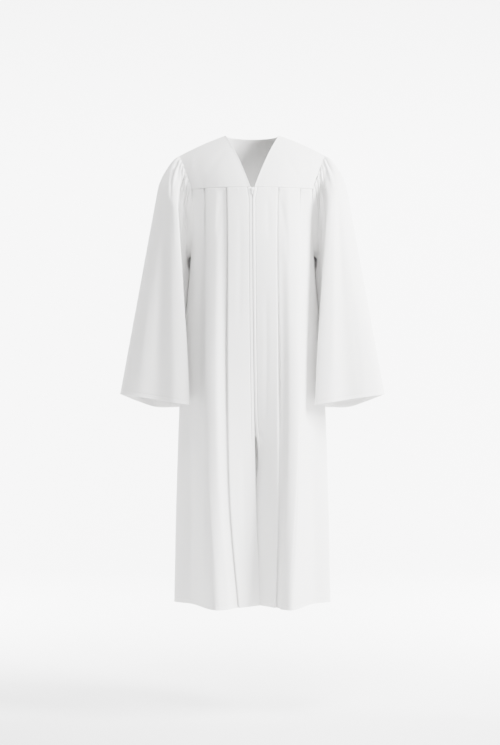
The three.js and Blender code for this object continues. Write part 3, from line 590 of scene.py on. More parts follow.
def armhole(side):
    """The armhole's seam all round the sleeve: the places round, points and outward directions."""
    b = np.linspace(0, 1, 25)
    ones = np.ones(len(b))
    front, front_out = frames_at(front_yoke_point, side, ones, b, -1)
    back, back_out = frames_at(back_yoke_point, side, ones, b[::-1], 1)
    turns = [CORNER] + [CORNER + s for s in ARMHOLE_SHARES] + [SIDE]
    turns += [BACK_CORNER - s for s in reversed(ARMHOLE_SHARES)] + [BACK_CORNER]
    places = np.linspace(YOKE_SHARE, 1 - YOKE_SHARE, len(turns))
    fine = np.unique(np.concatenate([np.linspace(CORNER, BACK_CORNER, 81), turns]))[1:-1]
    under, under_out = [], []
    for folded in fine:
        z = np.array([float(body_top(folded))])
        shape = outline(z)
        at = folded if side < 0 else LAST - folded
        length = np.interp(at * SAMPLES, np.arange(len(shape[1])), shape[1][:, 0]) * np.ones((1, 1))
        base = on_outline(shape, length, np.zeros((1, 1)))[0, 0]
        above = on_outline(shape, length, np.ones((1, 1)))[0, 0]
        under.append([base[0], base[1], z[0]])
        under_out.append([above[0] - base[0], above[1] - base[1], 0])
    around = np.concatenate([YOKE_SHARE * b, np.interp(fine, turns, places), 1 - YOKE_SHARE * b[::-1]])
    points = np.concatenate([front, np.array(under), back])
    outs = np.concatenate([front_out, np.array(under_out), back_out])
    return around, points, outs


def along_table(around, table, at):
    return np.stack([np.interp(at, around, table[:, k]) for k in range(3)], -1)


def ring_points(key, at):
    """Points of the sleeve's head or cuff ring at the places round it."""
    rows = np.array([row[0] for row in SLEEVE] + [1.0])
    p = np.array([row[key] for row in SLEEVE], float)
    n = len(p)
    i = np.clip(np.searchsorted(rows, at, side="right") - 1, 0, n - 1)
    t = ((at - rows[i]) / (rows[i + 1] - rows[i]))[:, None]
    a, b, c, d = p[(i - 1) % n], p[i], p[(i + 1) % n], p[(i + 2) % n]
    u, v, w = (np.linalg.norm(e, axis=1, keepdims=True) ** 0.5 for e in (b - a, c - b, d - c))
    return curved(a, b, c, d, u, v, w, t)


def sleeve_columns():
    """The places round the sleeve that have a column, closest together where it is gathered."""
    rows = [row[0] for row in SLEEVE] + [1.0]
    parts = []
    for start, end in zip(rows[:-1], rows[1:]):
        count = max(8, round(abs(end - start) / 0.0045))
        parts.append(np.linspace(start, end, max(3, min(count, 26) // COARSE) + 1)[:-1])
    return np.concatenate(parts)


SLEEVE_LENGTH = 520
SLEEVE_ROUND = 900


def sleeve_rows():
    head = np.linspace(0, 1, 56 // COARSE) ** 1.35 * HEAD_SHARE
    low = np.linspace(HEAD_SHARE, 1 - 0.05, 84 // COARSE + 2)[1:]
    hem = 1 - np.array([21, 16, 12, 9.2, HEM["cuff"], 6, 4, 2, 0.6, 0]) / SLEEVE_LENGTH
    return np.concatenate([head, low, hem])


def cuff_drop(down):
    return (1 - down)[:, None] * SLEEVE_LENGTH


# Creases of each sleeve's front and back, as for the body, by the sleeve's side. The first ones of
# each front hang from its gathered head.
SLEEVE_CREASES = {
    -1: dict(
        front=[
            (-3.0, 4.0, [(-184, -71), (-198, -92), (-201, -124), (-202, -165)]),
            (-1.2, 2.4, [(-186, -77), (-189, -89)]),
            (-2.0, 3.0, [(-178, -88), (-185, -105), (-187, -126)]),
            (-2.6, 3.2, [(-176, -99), (-182, -129), (-183, -148)]),
            (-5.5, 4.2, [(-171, -115), (-174, -135), (-173, -154), (-168, -187), (-162, -224)]),
            (-1.2, 2.4, [(-168, -124), (-171, -143)]),
            (-1.6, 3.4, [(-162, -133), (-162, -168)]),
            (-1.8, 7.0, [(-201, -82), (-212, -109), (-216, -138), (-222, -197)]),
            (-2.2, 10.0, [(-220, -234), (-226, -394), (-232, -530), (-234, -616)]),
            (1.2, 7.0, [(-249, -259), (-259, -419), (-274, -596)]),
            (-1.2, 7.0, [(-281, -419), (-291, -542), (-296, -635)]),
        ],
        back=[
            (-2.8, 4.0, [(-186, -74), (-200, -100), (-203, -150)]),
            (-2.4, 3.4, [(-176, -104), (-180, -140), (-176, -190)]),
            (-1.6, 3.0, [(-166, -128), (-168, -170)]),
            (-2.0, 9.0, [(-224, -210), (-232, -380), (-244, -560)]),
            (1.2, 8.0, [(-252, -300), (-268, -450), (-280, -610)]),
        ],
    ),
    1: dict(
        front=[
            (-1.6, 2.6, [(176, -74), (183, -85)]),
            (-1.4, 2.4, [(171, -94), (176, -104)]),
            (-2.0, 3.0, [(164, -112), (170, -121), (171, -138), (171, -160), (163, -207)]),
            (-1.4, 2.4, [(161, -121), (164, -135)]),
            (-1.4, 2.6, [(157, -131), (161, -148)]),
            (-4.6, 3.6, [(181, -92), (183, -116), (182, -132), (185, -160), (185, -187), (182, -227)]),
            (-1.6, 4.0, [(180, -66), (192, -83), (197, -99)]),
            (-1.2, 6.0, [(213, -173), (218, -296), (223, -419)]),
            (-1.0, 7.0, [(245, -394), (258, -530), (267, -640)]),
            (0.9, 7.0, [(199, -247), (201, -419), (199, -628)]),
        ],
        back=[
            (-2.6, 4.0, [(184, -70), (196, -96), (199, -146)]),
            (-2.2, 3.4, [(174, -102), (181, -138), (180, -176)]),
            (-1.4, 3.0, [(164, -126), (168, -176)]),
            (-2.2, 9.0, [(220, -230), (230, -400), (238, -590)]),
            (1.1, 8.0, [(250, -280), (262, -430), (284, -600)]),
        ],
    ),
}


# Beside its ridges the sleeve tucks in, and its inner side lies close to the body: for each form,
# how far it goes, its place round the sleeve and half its width.
RIDGES = dict(tuck=(10.0, 0.132, 0.013), hollow=(6.0, 0.2, 0.05), over=(7.0, 0.112, 0.014))
RIDGES.update(close=(9.0, 0.5, 0.08), behind=(11.0, 0.63, 0.09))
# How far the sleeve's top goes in under the armhole's seam, and away along the cloth.
SLEEVE_TUCK = dict(out=1.3, away=2.0, fall=6)


def ridge(name, around):
    depth, middle, width = RIDGES[name]
    return depth * bump(around - middle, width)


def gathers(at, distance, seed):
    """How far the gathers of a sleeve's head stand out, at places round it and distances down it."""
    half = np.minimum(at, 1 - at)
    rng = np.random.default_rng(seed)
    warp = sum(0.0035 * np.sin(2 * math.pi * (at * k + rng.uniform())) for k in (3, 7, 11))
    place = (half + warp * bump(half - 0.17, 0.12)) / GATHER_PITCH
    index = np.clip(place.astype(int), 0, len(GATHERS) - 1)
    heights = np.array([g[0] for g in GATHERS]) * rng.uniform(0.85, 1.2, len(GATHERS))
    lengths = np.array([g[1] for g in GATHERS]) * rng.uniform(0.85, 1.15, len(GATHERS))
    rise = mix(0.75, 1, ease(distance / GATHER_RISE))
    fade = 1 - ease((distance - GATHER_RISE) / lengths[index])
    sine = np.abs(np.sin(math.pi * np.clip(place, 0, len(GATHERS))))
    sharp = sine ** mix(0.45, 1.3, ease(distance / 60))
    within = (place > 0) & (place < len(GATHERS))
    return GATHER_SHOW * np.where(within, heights[index] * rise * fade * sharp, 0)


def sleeve_surface(side):
    """The mid-surface grid of a whole sleeve, from its seam to its cuff, closed round."""
    at = sleeve_columns()
    down = sleeve_rows()
    around, points, outs = armhole(side)
    seam = along_table(around, points, at)
    out = unit(along_table(around, outs, at))
    after, before = (along_table(around, points, np.clip(at + near, 0, 1)) for near in (0.004, -0.004))
    away = unit(np.cross(out, after - before) * side)
    mirror = np.array([side, 1, 1])
    head = ring_points(1, at) * mirror
    cuff = ring_points(2, at) * mirror
    fall = cuff - head
    puff = np.maximum(PUFF["shoulder"] - PUFF["fall"] * np.minimum(at, 1 - at), PUFF["least"])[:, None]
    leave = head - seam + out * puff
    arrive = unit(fall) * np.linalg.norm(head - seam, axis=1, keepdims=True)
    grid = between(seam, leave, head, arrive, (np.minimum(down, HEAD_SHARE) / HEAD_SHARE)[:, None, None])
    grid = grid + fall * (np.maximum(down - HEAD_SHARE, 0) / (1 - HEAD_SHARE))[:, None, None]
    distance = np.linalg.norm(grid - seam, axis=-1)
    normal = normals_of(grid, closed=True) * -side
    places = np.broadcast_to(at, distance.shape)
    half = np.minimum(places, 1 - places)
    tucked = ease((distance - 14) / 40) * (1 - 0.4 * ease((down[:, None] - 0.7) / 0.3))
    inner = ease((distance - 15) / 40) * (1 - ease((down[:, None] - 0.55) / 0.2))
    d = gathers(places, distance, 11 if side < 0 else 12)
    d = d - (ridge("tuck", half) + ridge("hollow", half)) * tucked
    d = d + (ridge("close", half) + ridge("behind", places)) * inner
    for face, way in (("front", -1), ("back", 1)):
        facing = np.clip(3 * way * normal[..., 1] + 0.2, 0, 1) * (way * grid[..., 1] > 0)
        d = d + facing * creased(SLEEVE_CREASES[side][face], grid[..., 0], grid[..., 2])
    drop = cuff_drop(down)
    d = d + hem_form(drop, HEM["cuff"]) + puckers(places * SLEEVE_ROUND, drop - HEM["cuff"], 21 + side)
    grid[..., 0] -= side * ridge("over", half) * tucked
    blend = ease(distance / 5)[..., None]
    grid = grid + normal * d[..., None] * blend + out * (d * 0.9)[..., None] * (1 - blend)
    tuck = 1 - ease(distance / SLEEVE_TUCK["fall"])[..., None]
    return grid - (out * SLEEVE_TUCK["out"] + away * SLEEVE_TUCK["away"]) * tuck


def flat_cut(grid):
    """The longest row and column of a grid, and its area, in metres."""
    across = np.diff(grid, axis=1)
    down = np.diff(grid, axis=0)
    cells = np.cross(across[:-1], down[:, :-1])
    width = np.linalg.norm(across, axis=-1).sum(1).max() * MM
    length = np.linalg.norm(down, axis=-1).sum(0).max() * MM
    return width, length, np.linalg.norm(cells, axis=-1).sum() * MM * MM


def mesh_object(name, points, faces, uvs=None):
    mesh = bpy.data.meshes.new(name)
    faces = faces if isinstance(faces, list) else faces.tolist()
    mesh.from_pydata((np.asarray(points) * MM).tolist(), [], faces)
    mesh.polygons.foreach_set("use_smooth", np.ones(len(mesh.polygons), bool))
    if uvs is not None:
        layer = mesh.uv_layers.new(name="cloth")
        loops = np.empty(len(mesh.loops), int)
        mesh.loops.foreach_get("vertex_index", loops)
        layer.data.foreach_set("uv", (np.asarray(uvs)[loops] * MM).ravel())
    mesh.validate()
    obj = bpy.data.objects.new(name, mesh)
    bpy.context.collection.objects.link(obj)
    return obj


def grid_uvs(grid):
    """Lengths in the cloth across and down, for weaves to follow."""
    across = np.linalg.norm(np.diff(grid, axis=1), axis=-1).mean(0)
    down = np.linalg.norm(np.diff(grid, axis=0), axis=-1).mean(1)
    u = np.concatenate([[0], np.cumsum(across)])
    v = np.concatenate([[0], np.cumsum(down)])
    return np.stack(np.broadcast_arrays(u[None, :], v[:, None]), -1)


def shell(name, grid, outward, closed=False, extra=None):
    """A thin closed shell either side of a grid, thicker inwards by `extra` where hems are turned."""
    rows, columns = grid.shape[:2]
    thick_in = HALF_CLOTH + (0 if extra is None else extra)
    outer = grid + outward * HALF_CLOTH
    inner = grid - outward * (np.zeros((rows, columns)) + thick_in)[..., None]
    points = np.concatenate([outer.reshape(-1, 3), inner.reshape(-1, 3)])
    uv = grid_uvs(grid).reshape(-1, 2)
    index = np.arange(rows * columns).reshape(rows, columns)
    if closed:
        index = np.concatenate([index, index[:, :1]], 1)
    a, b = index[:-1, :-1].ravel(), index[1:, :-1].ravel()
    c, d = index[1:, 1:].ravel(), index[:-1, 1:].ravel()
    faces = [np.stack([a, b, c, d], 1), np.stack([d, c, b, a], 1) + rows * columns]
    shift = rows * columns

    def rim(line):
        return np.stack([line[:-1], line[1:], line[1:] + shift, line[:-1] + shift], 1)

    faces += [rim(index[0]), rim(index[-1][::-1])]
    if not closed:
        faces += [rim(index[:, -1]), rim(index[:, 0][::-1])]
    faces = np.concatenate(faces)
    sample = np.cross(outer[1, 0] - outer[0, 0], outer[0, 1] - outer[0, 0])
    if np.dot(sample, outward[0, 0]) < 0:
        faces = faces[:, ::-1]
    return mesh_object(name, points, faces, np.concatenate([uv, uv]))


def link(tree, a, out, b, into):
    tree.links.new(a.outputs[out], b.inputs[into])


def node(tree, kind, **values):
    """A new shader node with some of its inputs set."""
    made = tree.nodes.new("ShaderNode" + kind)
    for name, value in values.items():
        made.inputs[name].default_value = value
    return made


def new_material(name, roughness):
    material = bpy.data.materials.new(name)
    material.use_nodes = True
    shader = material.node_tree.nodes["Principled BSDF"]
    shader.inputs["Roughness"].default_value = roughness
    return material, material.node_tree, shader


def clouded(tree, noise, shader, colour, darkest, span=(0, 1)):
    """Colours a shader by a noise, from a little darker to the full colour."""
    ramp = node(tree, "ValToRGB")
    for stop, place, share in zip(ramp.color_ramp.elements, span, (darkest, 1)):
        stop.position = place
        stop.color = tuple(c * share for c in colour) + (1,)
    link(tree, noise, "Fac", ramp, "Fac")
    link(tree, ramp, "Color", shader, "Base Color")


def cloth_material(name, colour, weave, bump_height):
    """Matt woven cloth: fine threads both ways, faint cloudiness and crumples, and a soft sheen."""
    material, tree, shader = new_material(name, 0.82)
    shader.inputs["Sheen Weight"].default_value = 0.12
    shader.inputs["Sheen Roughness"].default_value = 0.45
    shader.inputs["Specular IOR Level"].default_value = 0.25
    uv = node(tree, "UVMap")
    uv.uv_map = "cloth"
    woven = node(tree, "Math")
    woven.operation = "MAXIMUM"
    for into, direction in enumerate(("X", "Y")):
        wave = node(tree, "TexWave", Scale=weave, Distortion=0.6, Detail=1.0)
        wave.bands_direction = direction
        link(tree, uv, "UV", wave, "Vector")
        link(tree, wave, "Fac", woven, into)
    place = node(tree, "TexCoord")
    cloud = node(tree, "TexNoise", Scale=9.0, Detail=4.0)
    link(tree, place, "Object", cloud, "Vector")
    clouded(tree, cloud, shader, colour, 0.975, (0.3, 0.7))
    crumples = node(tree, "TexNoise", Scale=26.0, Detail=3.0, Roughness=0.55)
    link(tree, place, "Object", crumples, "Vector")
    soft = node(tree, "Bump", Strength=1.0, Distance=0.0006)
    link(tree, crumples, "Fac", soft, "Height")
    fine = node(tree, "Bump", Strength=1.0, Distance=bump_height)
    link(tree, woven, "Value", fine, "Height")
    link(tree, soft, "Normal", fine, "Normal")
    link(tree, fine, "Normal", shader, "Normal")
    return material


def plain_material(name, colour, roughness):
    """Moulded plastic or thread, with a faint grain in its colour and surface."""
    material, tree, shader = new_material(name, roughness)
    noise = node(tree, "TexNoise", Scale=700.0, Detail=3.0)
    link(tree, node(tree, "TexCoord"), "Object", noise, "Vector")
    clouded(tree, noise, shader, colour, 0.95)
    grain = node(tree, "Bump", Distance=0.00003)
    link(tree, noise, "Fac", grain, "Height")
    link(tree, grain, "Normal", shader, "Normal")
    return material


CLOTH_WHITE = (0.8, 0.795, 0.785)
robe_cloth = cloth_material("robe cloth", CLOTH_WHITE, 640.0, 0.00004)
tape_cloth = cloth_material("zip tape", (0.85, 0.85, 0.845), 420.0, 0.00012)
zip_plastic = plain_material("zip plastic", (0.88, 0.88, 0.88), 0.38)
thread = plain_material("thread", (0.87, 0.865, 0.855), 0.6)


def finish_piece(obj, material, slot, *nodes, body="robe"):
    """Gives a piece its material and its body, and hides the solids that it stands for. Its slot is not
    used.
    """
    obj.data.materials.append(material)
    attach(obj, body)
    if nodes:
        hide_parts(*nodes)
    return obj


def tube_faces(rings, sides):
    """The faces between rings of points that have the same number of sides."""
    faces = []
    for i in range(rings - 1):
        for k in range(sides):
            a, b = i * sides + k, i * sides + (k + 1) % sides
            faces.append([a, b, b + sides, a + sides])
    return faces


def repeated(name, points, sides):
    """One mesh of many small closed rods. Each entry of points is one ring point of every rod."""
    starts = np.arange(len(points[0]))[:, None, None] * len(points)
    faces = np.array(tube_faces(len(points) // sides, sides))[None] + starts
    return mesh_object(name, np.stack(points, 1).reshape(-1, 3), faces.reshape(-1, 4))


# A stitch's size, and its rings: the share of its length and of its width, and its lift.
STITCH = dict(pitch=3.2, length=2.3, width=0.42, reach=0.6, sides=5, least=0.15)
STITCH_RINGS = [(-0.5, 0, -0.12), (-0.36, 0.8, 0.1), (0, 1, 0.16), (0.36, 0.8, 0.1), (0.5, 0, -0.12)]


def sewn(name, path, normal):
    """A row of short rounded threads along a path that lies on the cloth."""
    steps = np.linalg.norm(np.diff(path, axis=0), axis=1)
    along = np.concatenate([[0], np.cumsum(steps)])
    centres = np.arange(STITCH["pitch"] / 2, along[-1], STITCH["pitch"])
    place = along_table(along, path, centres)
    ahead = along_table(along, path, centres + STITCH["reach"])
    behind = along_table(along, path, centres - STITCH["reach"])
    up = unit(along_table(along, normal, centres))
    forward = unit(ahead - behind)
    aside = np.cross(up, forward)
    points = []
    for share, width_share, lift in STITCH_RINGS:
        half = STITCH["width"] / 2 * max(width_share, STITCH["least"])
        for k in range(STITCH["sides"]):
            turn = 2 * math.pi * k / STITCH["sides"]
            middle = place + forward * share * STITCH["length"]
            points.append(middle + aside * math.cos(turn) * half + up * (math.sin(turn) * half + lift))
    return finish_piece(repeated(name, points, STITCH["sides"]), thread, "robe_cloth")


# The least share of its rectangle that a sheet's cut is taken to fill.
LEAST_CUT = 0.31


def declare(grid):
    """Works out the rectangle that a piece is cut from, and the area of its cut, as its grid measures;
    the result is not kept.
    """
    width, length, area = flat_cut(grid)
    area = max(LEAST_CUT * width * length, min(area, width * length))


def at_drop(grid, outward, drop, value):
    """The line across a grid's outer face at which the drop to its lower edge has a value."""
    points, outs = [], []
    for k in range(grid.shape[1]):
        column = drop[::-1, k]
        points.append([np.interp(value, column, grid[::-1, k, c]) for c in range(3)])
        outs.append([np.interp(value, column, outward[::-1, k, c]) for c in range(3)])
    outs = unit(np.array(outs))
    return np.array(points) + outs * HALF_CLOTH, outs


def placket_row(right, grid, outward, lengths):
    """The row of stitches down a placket: at each height, where its distance round is reached."""
    distance = lengths if right else lengths[:, -1:] - lengths
    near = np.arange(PLACKET["columns"])
    near = near if right else grid.shape[1] - 1 - near
    row = PLACKET["right" if right else "left"]
    points, outs = [], []
    for m in range(1, len(grid)):
        if grid[m, 0, 2] < PLACKET["end"]:
            break
        column = distance[m, near]
        points.append([np.interp(row, column, grid[m, near, c]) for c in range(3)])
        outs.append([np.interp(row, column, outward[m, near, c]) for c in range(3)])
    points, outs = np.array(points), np.array(outs)
    return points + outs * HALF_CLOTH, outs


def make_body():
    """The body's three panels, cut apart at the side seams, with their rows of stitches."""
    columns, grid, lengths = body_surface()
    outward = -normals_of(grid)
    drop = grid[..., 2] - HEM_Z
    extra = hem_extra(drop, HEM["body"])
    lines = [column[0] for column in columns]
    first_side, last_side = lines.index(SIDE), lines.index(LAST - SIDE)
    panels = [
        ("front_right", 0, first_side + 1, ["front_yoke_right"]),
        ("back", first_side, last_side + 1, ["back_yoke"]),
        ("front_left", last_side, len(columns), ["front_yoke_left"]),
    ]
    for name, start, end, yokes in panels:
        part, out = grid[:, start:end], outward[:, start:end]
        obj = shell(name + "_cloth", part, out, extra=extra[:, start:end])
        finish_piece(obj, robe_cloth, "robe_cloth", name)
        sewing = [sewn(name + "_hem_stitches", *at_drop(part, out, drop[:, start:end], HEM["body"]))]
        if name != "back":
            row = placket_row(name == "front_right", grid, outward, lengths)
            sewing.append(sewn(name + "_placket_stitches", *row))
        declare(part)


# Where a yoke has its rows, from the shoulder or neck to its seam, and its columns near each end.
YOKE_TOP_ROWS = [0, 0.004, 0.008, 0.012, 0.018, 0.026]
YOKE_LOW_ROWS = [0.962, 0.972, 0.98, 0.985, 0.99, 0.994, 0.997, 1]
YOKE_END_COLUMNS = [0, 0.004, 0.009, 0.014, 0.02, 0.028]


def yoke_columns():
    ends = [round(1 - e, 4) for e in YOKE_END_COLUMNS[::-1]]
    return np.array(YOKE_END_COLUMNS + list(np.linspace(0.045, 0.955, 44 // COARSE)) + ends)


def yoke_grid(point, side, across):
    rows = YOKE_TOP_ROWS + list(np.linspace(0.04, 0.95, 40 // COARSE)) + YOKE_LOW_ROWS
    return point(side, across[None, :], np.array(rows)[:, None])


def edge_distances(grid):
    """How far each point is, along the cloth, from the first and last column and row."""
    across = np.linalg.norm(np.diff(grid, axis=1), axis=-1)
    down = np.linalg.norm(np.diff(grid, axis=0), axis=-1)
    first = np.concatenate([np.zeros((len(grid), 1)), np.cumsum(across, axis=1)], 1)
    fall = np.concatenate([np.zeros((1, grid.shape[1])), np.cumsum(down, axis=0)])
    return first, first[:, -1:] - first, fall, fall[-1:] - fall


def rolled(distance):
    """A turned edge: its last millimetre curls in and the cloth swells beside it."""
    swell = ROLL["swell"] * bump(distance - ROLL["swell_at"], ROLL["swell_width"])
    return swell - ROLL["seam"] * (1 - ease(distance / ROLL["seam_width"]))


def neck_roll(distance):
    return ROLL["neck"] * bump(distance - ROLL["neck_at"], ROLL["neck_width"])


def make_front_yokes(across):
    for side, name in ((-1, "front_yoke_right"), (1, "front_yoke_left")):
        grid = yoke_grid(front_yoke_point, side, across)
        neck, arm, _, seam = edge_distances(grid)
        lift = neck_roll(neck) + rolled(seam) + rolled(arm)
        lift = lift + puckers(grid[..., 0], seam, 7 + side, YOKE_PUCKERS)
        lift = lift + creased(YOKE_CREASES[side], grid[..., 0], grid[..., 2])
        grid = grid + normals_of(grid) * side * lift[..., None]
        obj = shell(name + "_cloth", grid, normals_of(grid) * side, extra=YOKE_EXTRA)
        finish_piece(obj, robe_cloth, "robe_cloth", name)
        declare(grid)


def make_back_yoke(across):
    left = yoke_grid(back_yoke_point, 1, across)
    right = yoke_grid(back_yoke_point, -1, across[1:])
    grid = np.concatenate([left[:, ::-1], right], 1)
    outward = normals_of(grid)
    first, last, fall, seam = edge_distances(grid)
    share = np.concatenate([across[::-1], across[1:]])[None, :]
    lift = neck_roll(fall) * (share < BACK_NECK_SHARE) + rolled(seam) + rolled(np.minimum(first, last))
    lift = lift + puckers(grid[..., 0], seam, 9, YOKE_PUCKERS)
    grid = grid + outward * lift[..., None]
    obj = shell("back_yoke_cloth", grid, outward, extra=YOKE_EXTRA)
    finish_piece(obj, robe_cloth, "robe_cloth", "back_yoke")
    declare(grid)


def make_sleeves():
    for side, name in ((-1, "sleeve_right"), (1, "sleeve_left")):
        grid = sleeve_surface(side)
        outward = normals_of(grid, closed=True) * -side
        drop = cuff_drop(sleeve_rows()) * np.ones(grid.shape[:2])
        extra = hem_extra(drop, HEM["cuff"])
        obj = shell(name + "_cloth", grid, outward, closed=True, extra=extra)
        finish_piece(obj, robe_cloth, "robe_cloth", name)
        row = [np.concatenate([line, line[:1]]) for line in at_drop(grid, outward, drop, HEM["cuff"])]
        sewing = sewn(name + "_hem_stitches", *row)
        declare(np.concatenate([grid, grid[:, :1]], 1))


# Across a tape from the zip's middle: the distance, and the share of its step back under the teeth.
TAPE_ACROSS = [(1.3, 1), (2.2, 1), (2.7, 1), (3.0, 0.4), (3.5, 0), (5, 0), (7, 0), (9, 0), (10.6, 0)]
TAPE_ACROSS += [(11.3, 0)]


def zip_heights():
    return np.linspace(ZIP_TOP, mix(ZIP_TOP, HEM_Z, ZIP_END_SHARE), 90 // COARSE)


def zip_line(z):
    """The middle of the closed front edges."""
    edge = ring_guide(0, z)
    return np.stack([through(SWAY, z), edge[:, 1], z], -1)


def make_tapes():
    """The zip's woven tapes, behind the fronts."""
    z = zip_heights()
    line = zip_line(z)
    slope = ring_guide(1, z)[:, 1] - line[:, 1]
    places, shares = np.array(TAPE_ACROSS).T
    behind = mix(ZIP["front"], ZIP["under"], shares) + ZIP["tape"] / 2
    for side, name, front in ((-1, "zip_tape_right", "front_right"), (1, "zip_tape_left", "front_left")):
        grid = np.empty((len(z), len(places), 3))
        grid[..., 0] = line[:, :1] + side * places
        grid[..., 1] = line[:, 1:2] + behind + slope[:, None] * (places / ZIP["bend"]) ** 2
        grid[..., 2] = z[:, None]
        outward = np.zeros(grid.shape) + np.array([0, -ZIP["tape"] / 2 / HALF_CLOTH, 0])
        obj = shell(name + "_woven", grid, outward, extra=0)
        finish_piece(obj, tape_cloth, "zip_tape", name)
        declare(grid)


# A tooth's rings: the distance from the middle, half the depth and half the height.
TOOTH = [(-0.62, 0.05, 0.02), (-0.55, 0.4, 0.24), (-0.25, 0.62, 0.32), (0.5, 0.6, 0.27), (2.1, 0.7, 0.3)]
TOOTH += [(2.5, 0.5, 0.22), (2.55, 0.05, 0.02)]
TOOTH_SIDES = 6


def make_teeth():
    """The closed teeth, half a pitch apart from side to side."""
    for side, name in ((-1, "zip_teeth_right"), (1, "zip_teeth_left")):
        z = np.arange(SLIDER["z"] - SLIDER["down"], zip_heights()[-1] + 1, -ZIP["tooth"])
        z = z - (ZIP["tooth"] / 2 if side > 0 else 0)
        starts = zip_line(z) + [0, ZIP["front"] + ZIP["teeth_back"], 0]
        points = []
        for x, deep, high in TOOTH:
            for k in range(TOOTH_SIDES):
                turn = 2 * math.pi * k / TOOTH_SIDES
                points.append(starts + [side * x, deep * math.sin(turn), high * math.cos(turn)])
        obj = repeated(name, points, TOOTH_SIDES)
        finish_piece(obj, zip_plastic, "zip_plastic", *(["zip_chain"] if side < 0 else []))


def filled_curve(name, outlines, thick, bevel):
    """A flat piece with rounded edges, in its own x and height, from its front at depth 0 backwards."""
    curve = bpy.data.curves.new(name, "CURVE")
    curve.dimensions = "2D"
    curve.fill_mode = "BOTH"
    curve.extrude = thick / 2 - bevel
    curve.bevel_depth = bevel
    curve.bevel_resolution = 3
    curve.offset = -bevel
    for outline_points in outlines:
        line = curve.splines.new("POLY")
        line.points.add(len(outline_points) - 1)
        for point, (x, z) in zip(line.points, outline_points):
            point.co = (x, z, 0, 1)
        line.use_cyclic_u = True
    made = bpy.data.objects.new(name, curve)
    bpy.context.collection.objects.link(made)
    mesh = bpy.data.meshes.new_from_object(made)
    bpy.data.objects.remove(made)
    points = np.array([v.co for v in mesh.vertices])
    faces = [list(face.vertices) for face in mesh.polygons]
    return np.stack([points[:, 0], -thick / 2 - points[:, 2], points[:, 1]], 1), faces


def quad(a, b, c, steps=8):
    """A rounded corner from a to c that pulls towards b."""
    t = np.linspace(0, 1, steps)[:, None]
    a, b, c = (np.array(e, float) for e in (a, b, c))
    return ((1 - t) ** 2 * a + 2 * t * (1 - t) * b + t**2 * c).tolist()


def bent_bar(path, half_width, half_thick, sides=12, square=0.6):
    """A bar of rounded section along a path in depth and height."""
    path = np.array(path, float)
    along = unit(np.gradient(path, axis=0))
    points = []
    for (y, z), (along_y, along_z) in zip(path, along):
        for k in range(sides):
            turn = 2 * math.pi * (k + 0.5) / sides
            c, d = math.cos(turn), math.sin(turn)
            x = half_width * math.copysign(abs(c) ** square, c)
            e = half_thick * math.copysign(abs(d) ** square, d)
            points.append((x, y - along_z * e, z + along_y * e))
    faces = tube_faces(len(path), sides)
    faces.append(list(range(sides))[::-1])
    faces.append([len(points) - sides + k for k in range(sides)])
    return np.array(points), faces


def slider_frame():
    """The slider's place on the front edges, and how far it leans with them."""
    high, low = zip_line(np.array([ZIP_TOP, ZIP_TOP - SLIDER["lean_over"]]))
    share = (high[2] - SLIDER["z"]) / (high[2] - low[2])
    lean = math.atan2(high[1] - low[1], high[2] - low[2])
    return mix(high, low, share) + [0, CLOTH / 2, 0], lean


SLIDER_PLACE, SLIDER_LEAN = slider_frame()


def joined(name, parts):
    """One mesh of several parts given in the slider's own frame, whose back lies on the teeth."""
    c, s = math.cos(SLIDER_LEAN), math.sin(SLIDER_LEAN)
    points, faces = [], []
    for part_points, part_faces in parts:
        faces += [[i + len(points) for i in face] for face in part_faces]
        x, y, z = np.asarray(part_points, float).T
        points += (np.stack([x, y * c + z * s, z * c - y * s], 1) + SLIDER_PLACE).tolist()
    return mesh_object(name, points, faces)


def make_slider():
    """The slider's plate, wide above and narrow below, and the bridge that holds the tab."""
    up, down, corner, thick = (SLIDER[k] for k in ("up", "down", "corner", "thick"))
    wide, waist, hip, foot = (SLIDER[k] for k in ("half_width", "half_waist", "half_hip", "half_foot"))
    half_plate = [(foot, -down)] + quad((foot, -down), (hip, corner - down), (waist, 0))[1:]
    half_plate += quad((wide, up - corner), (wide, up), (wide - corner, up))
    plate = half_plate + [(-x, z) for x, z in half_plate[::-1]]
    mid = BRIDGE["half"] - BRIDGE["bar"] / 2
    out = -thick - BRIDGE["height"] + BRIDGE["bar"] / 2
    leg = [(-thick + BRIDGE["root"], mid), (-thick - BRIDGE["leg"], mid)]
    leg += quad((-thick - BRIDGE["bend"], mid), (out, mid), (out, mid - 1))
    arch = leg + [(out, 0)] + [(y, -z) for y, z in leg[::-1]]
    parts = [
        filled_curve("slider_plate", [plate], thick, SLIDER["bevel"]),
        bent_bar(arch, BRIDGE["width"] / 2, BRIDGE["bar"] / 2),
    ]
    finish_piece(joined("slider", parts), zip_plastic, "zip_plastic", "zip_slider")


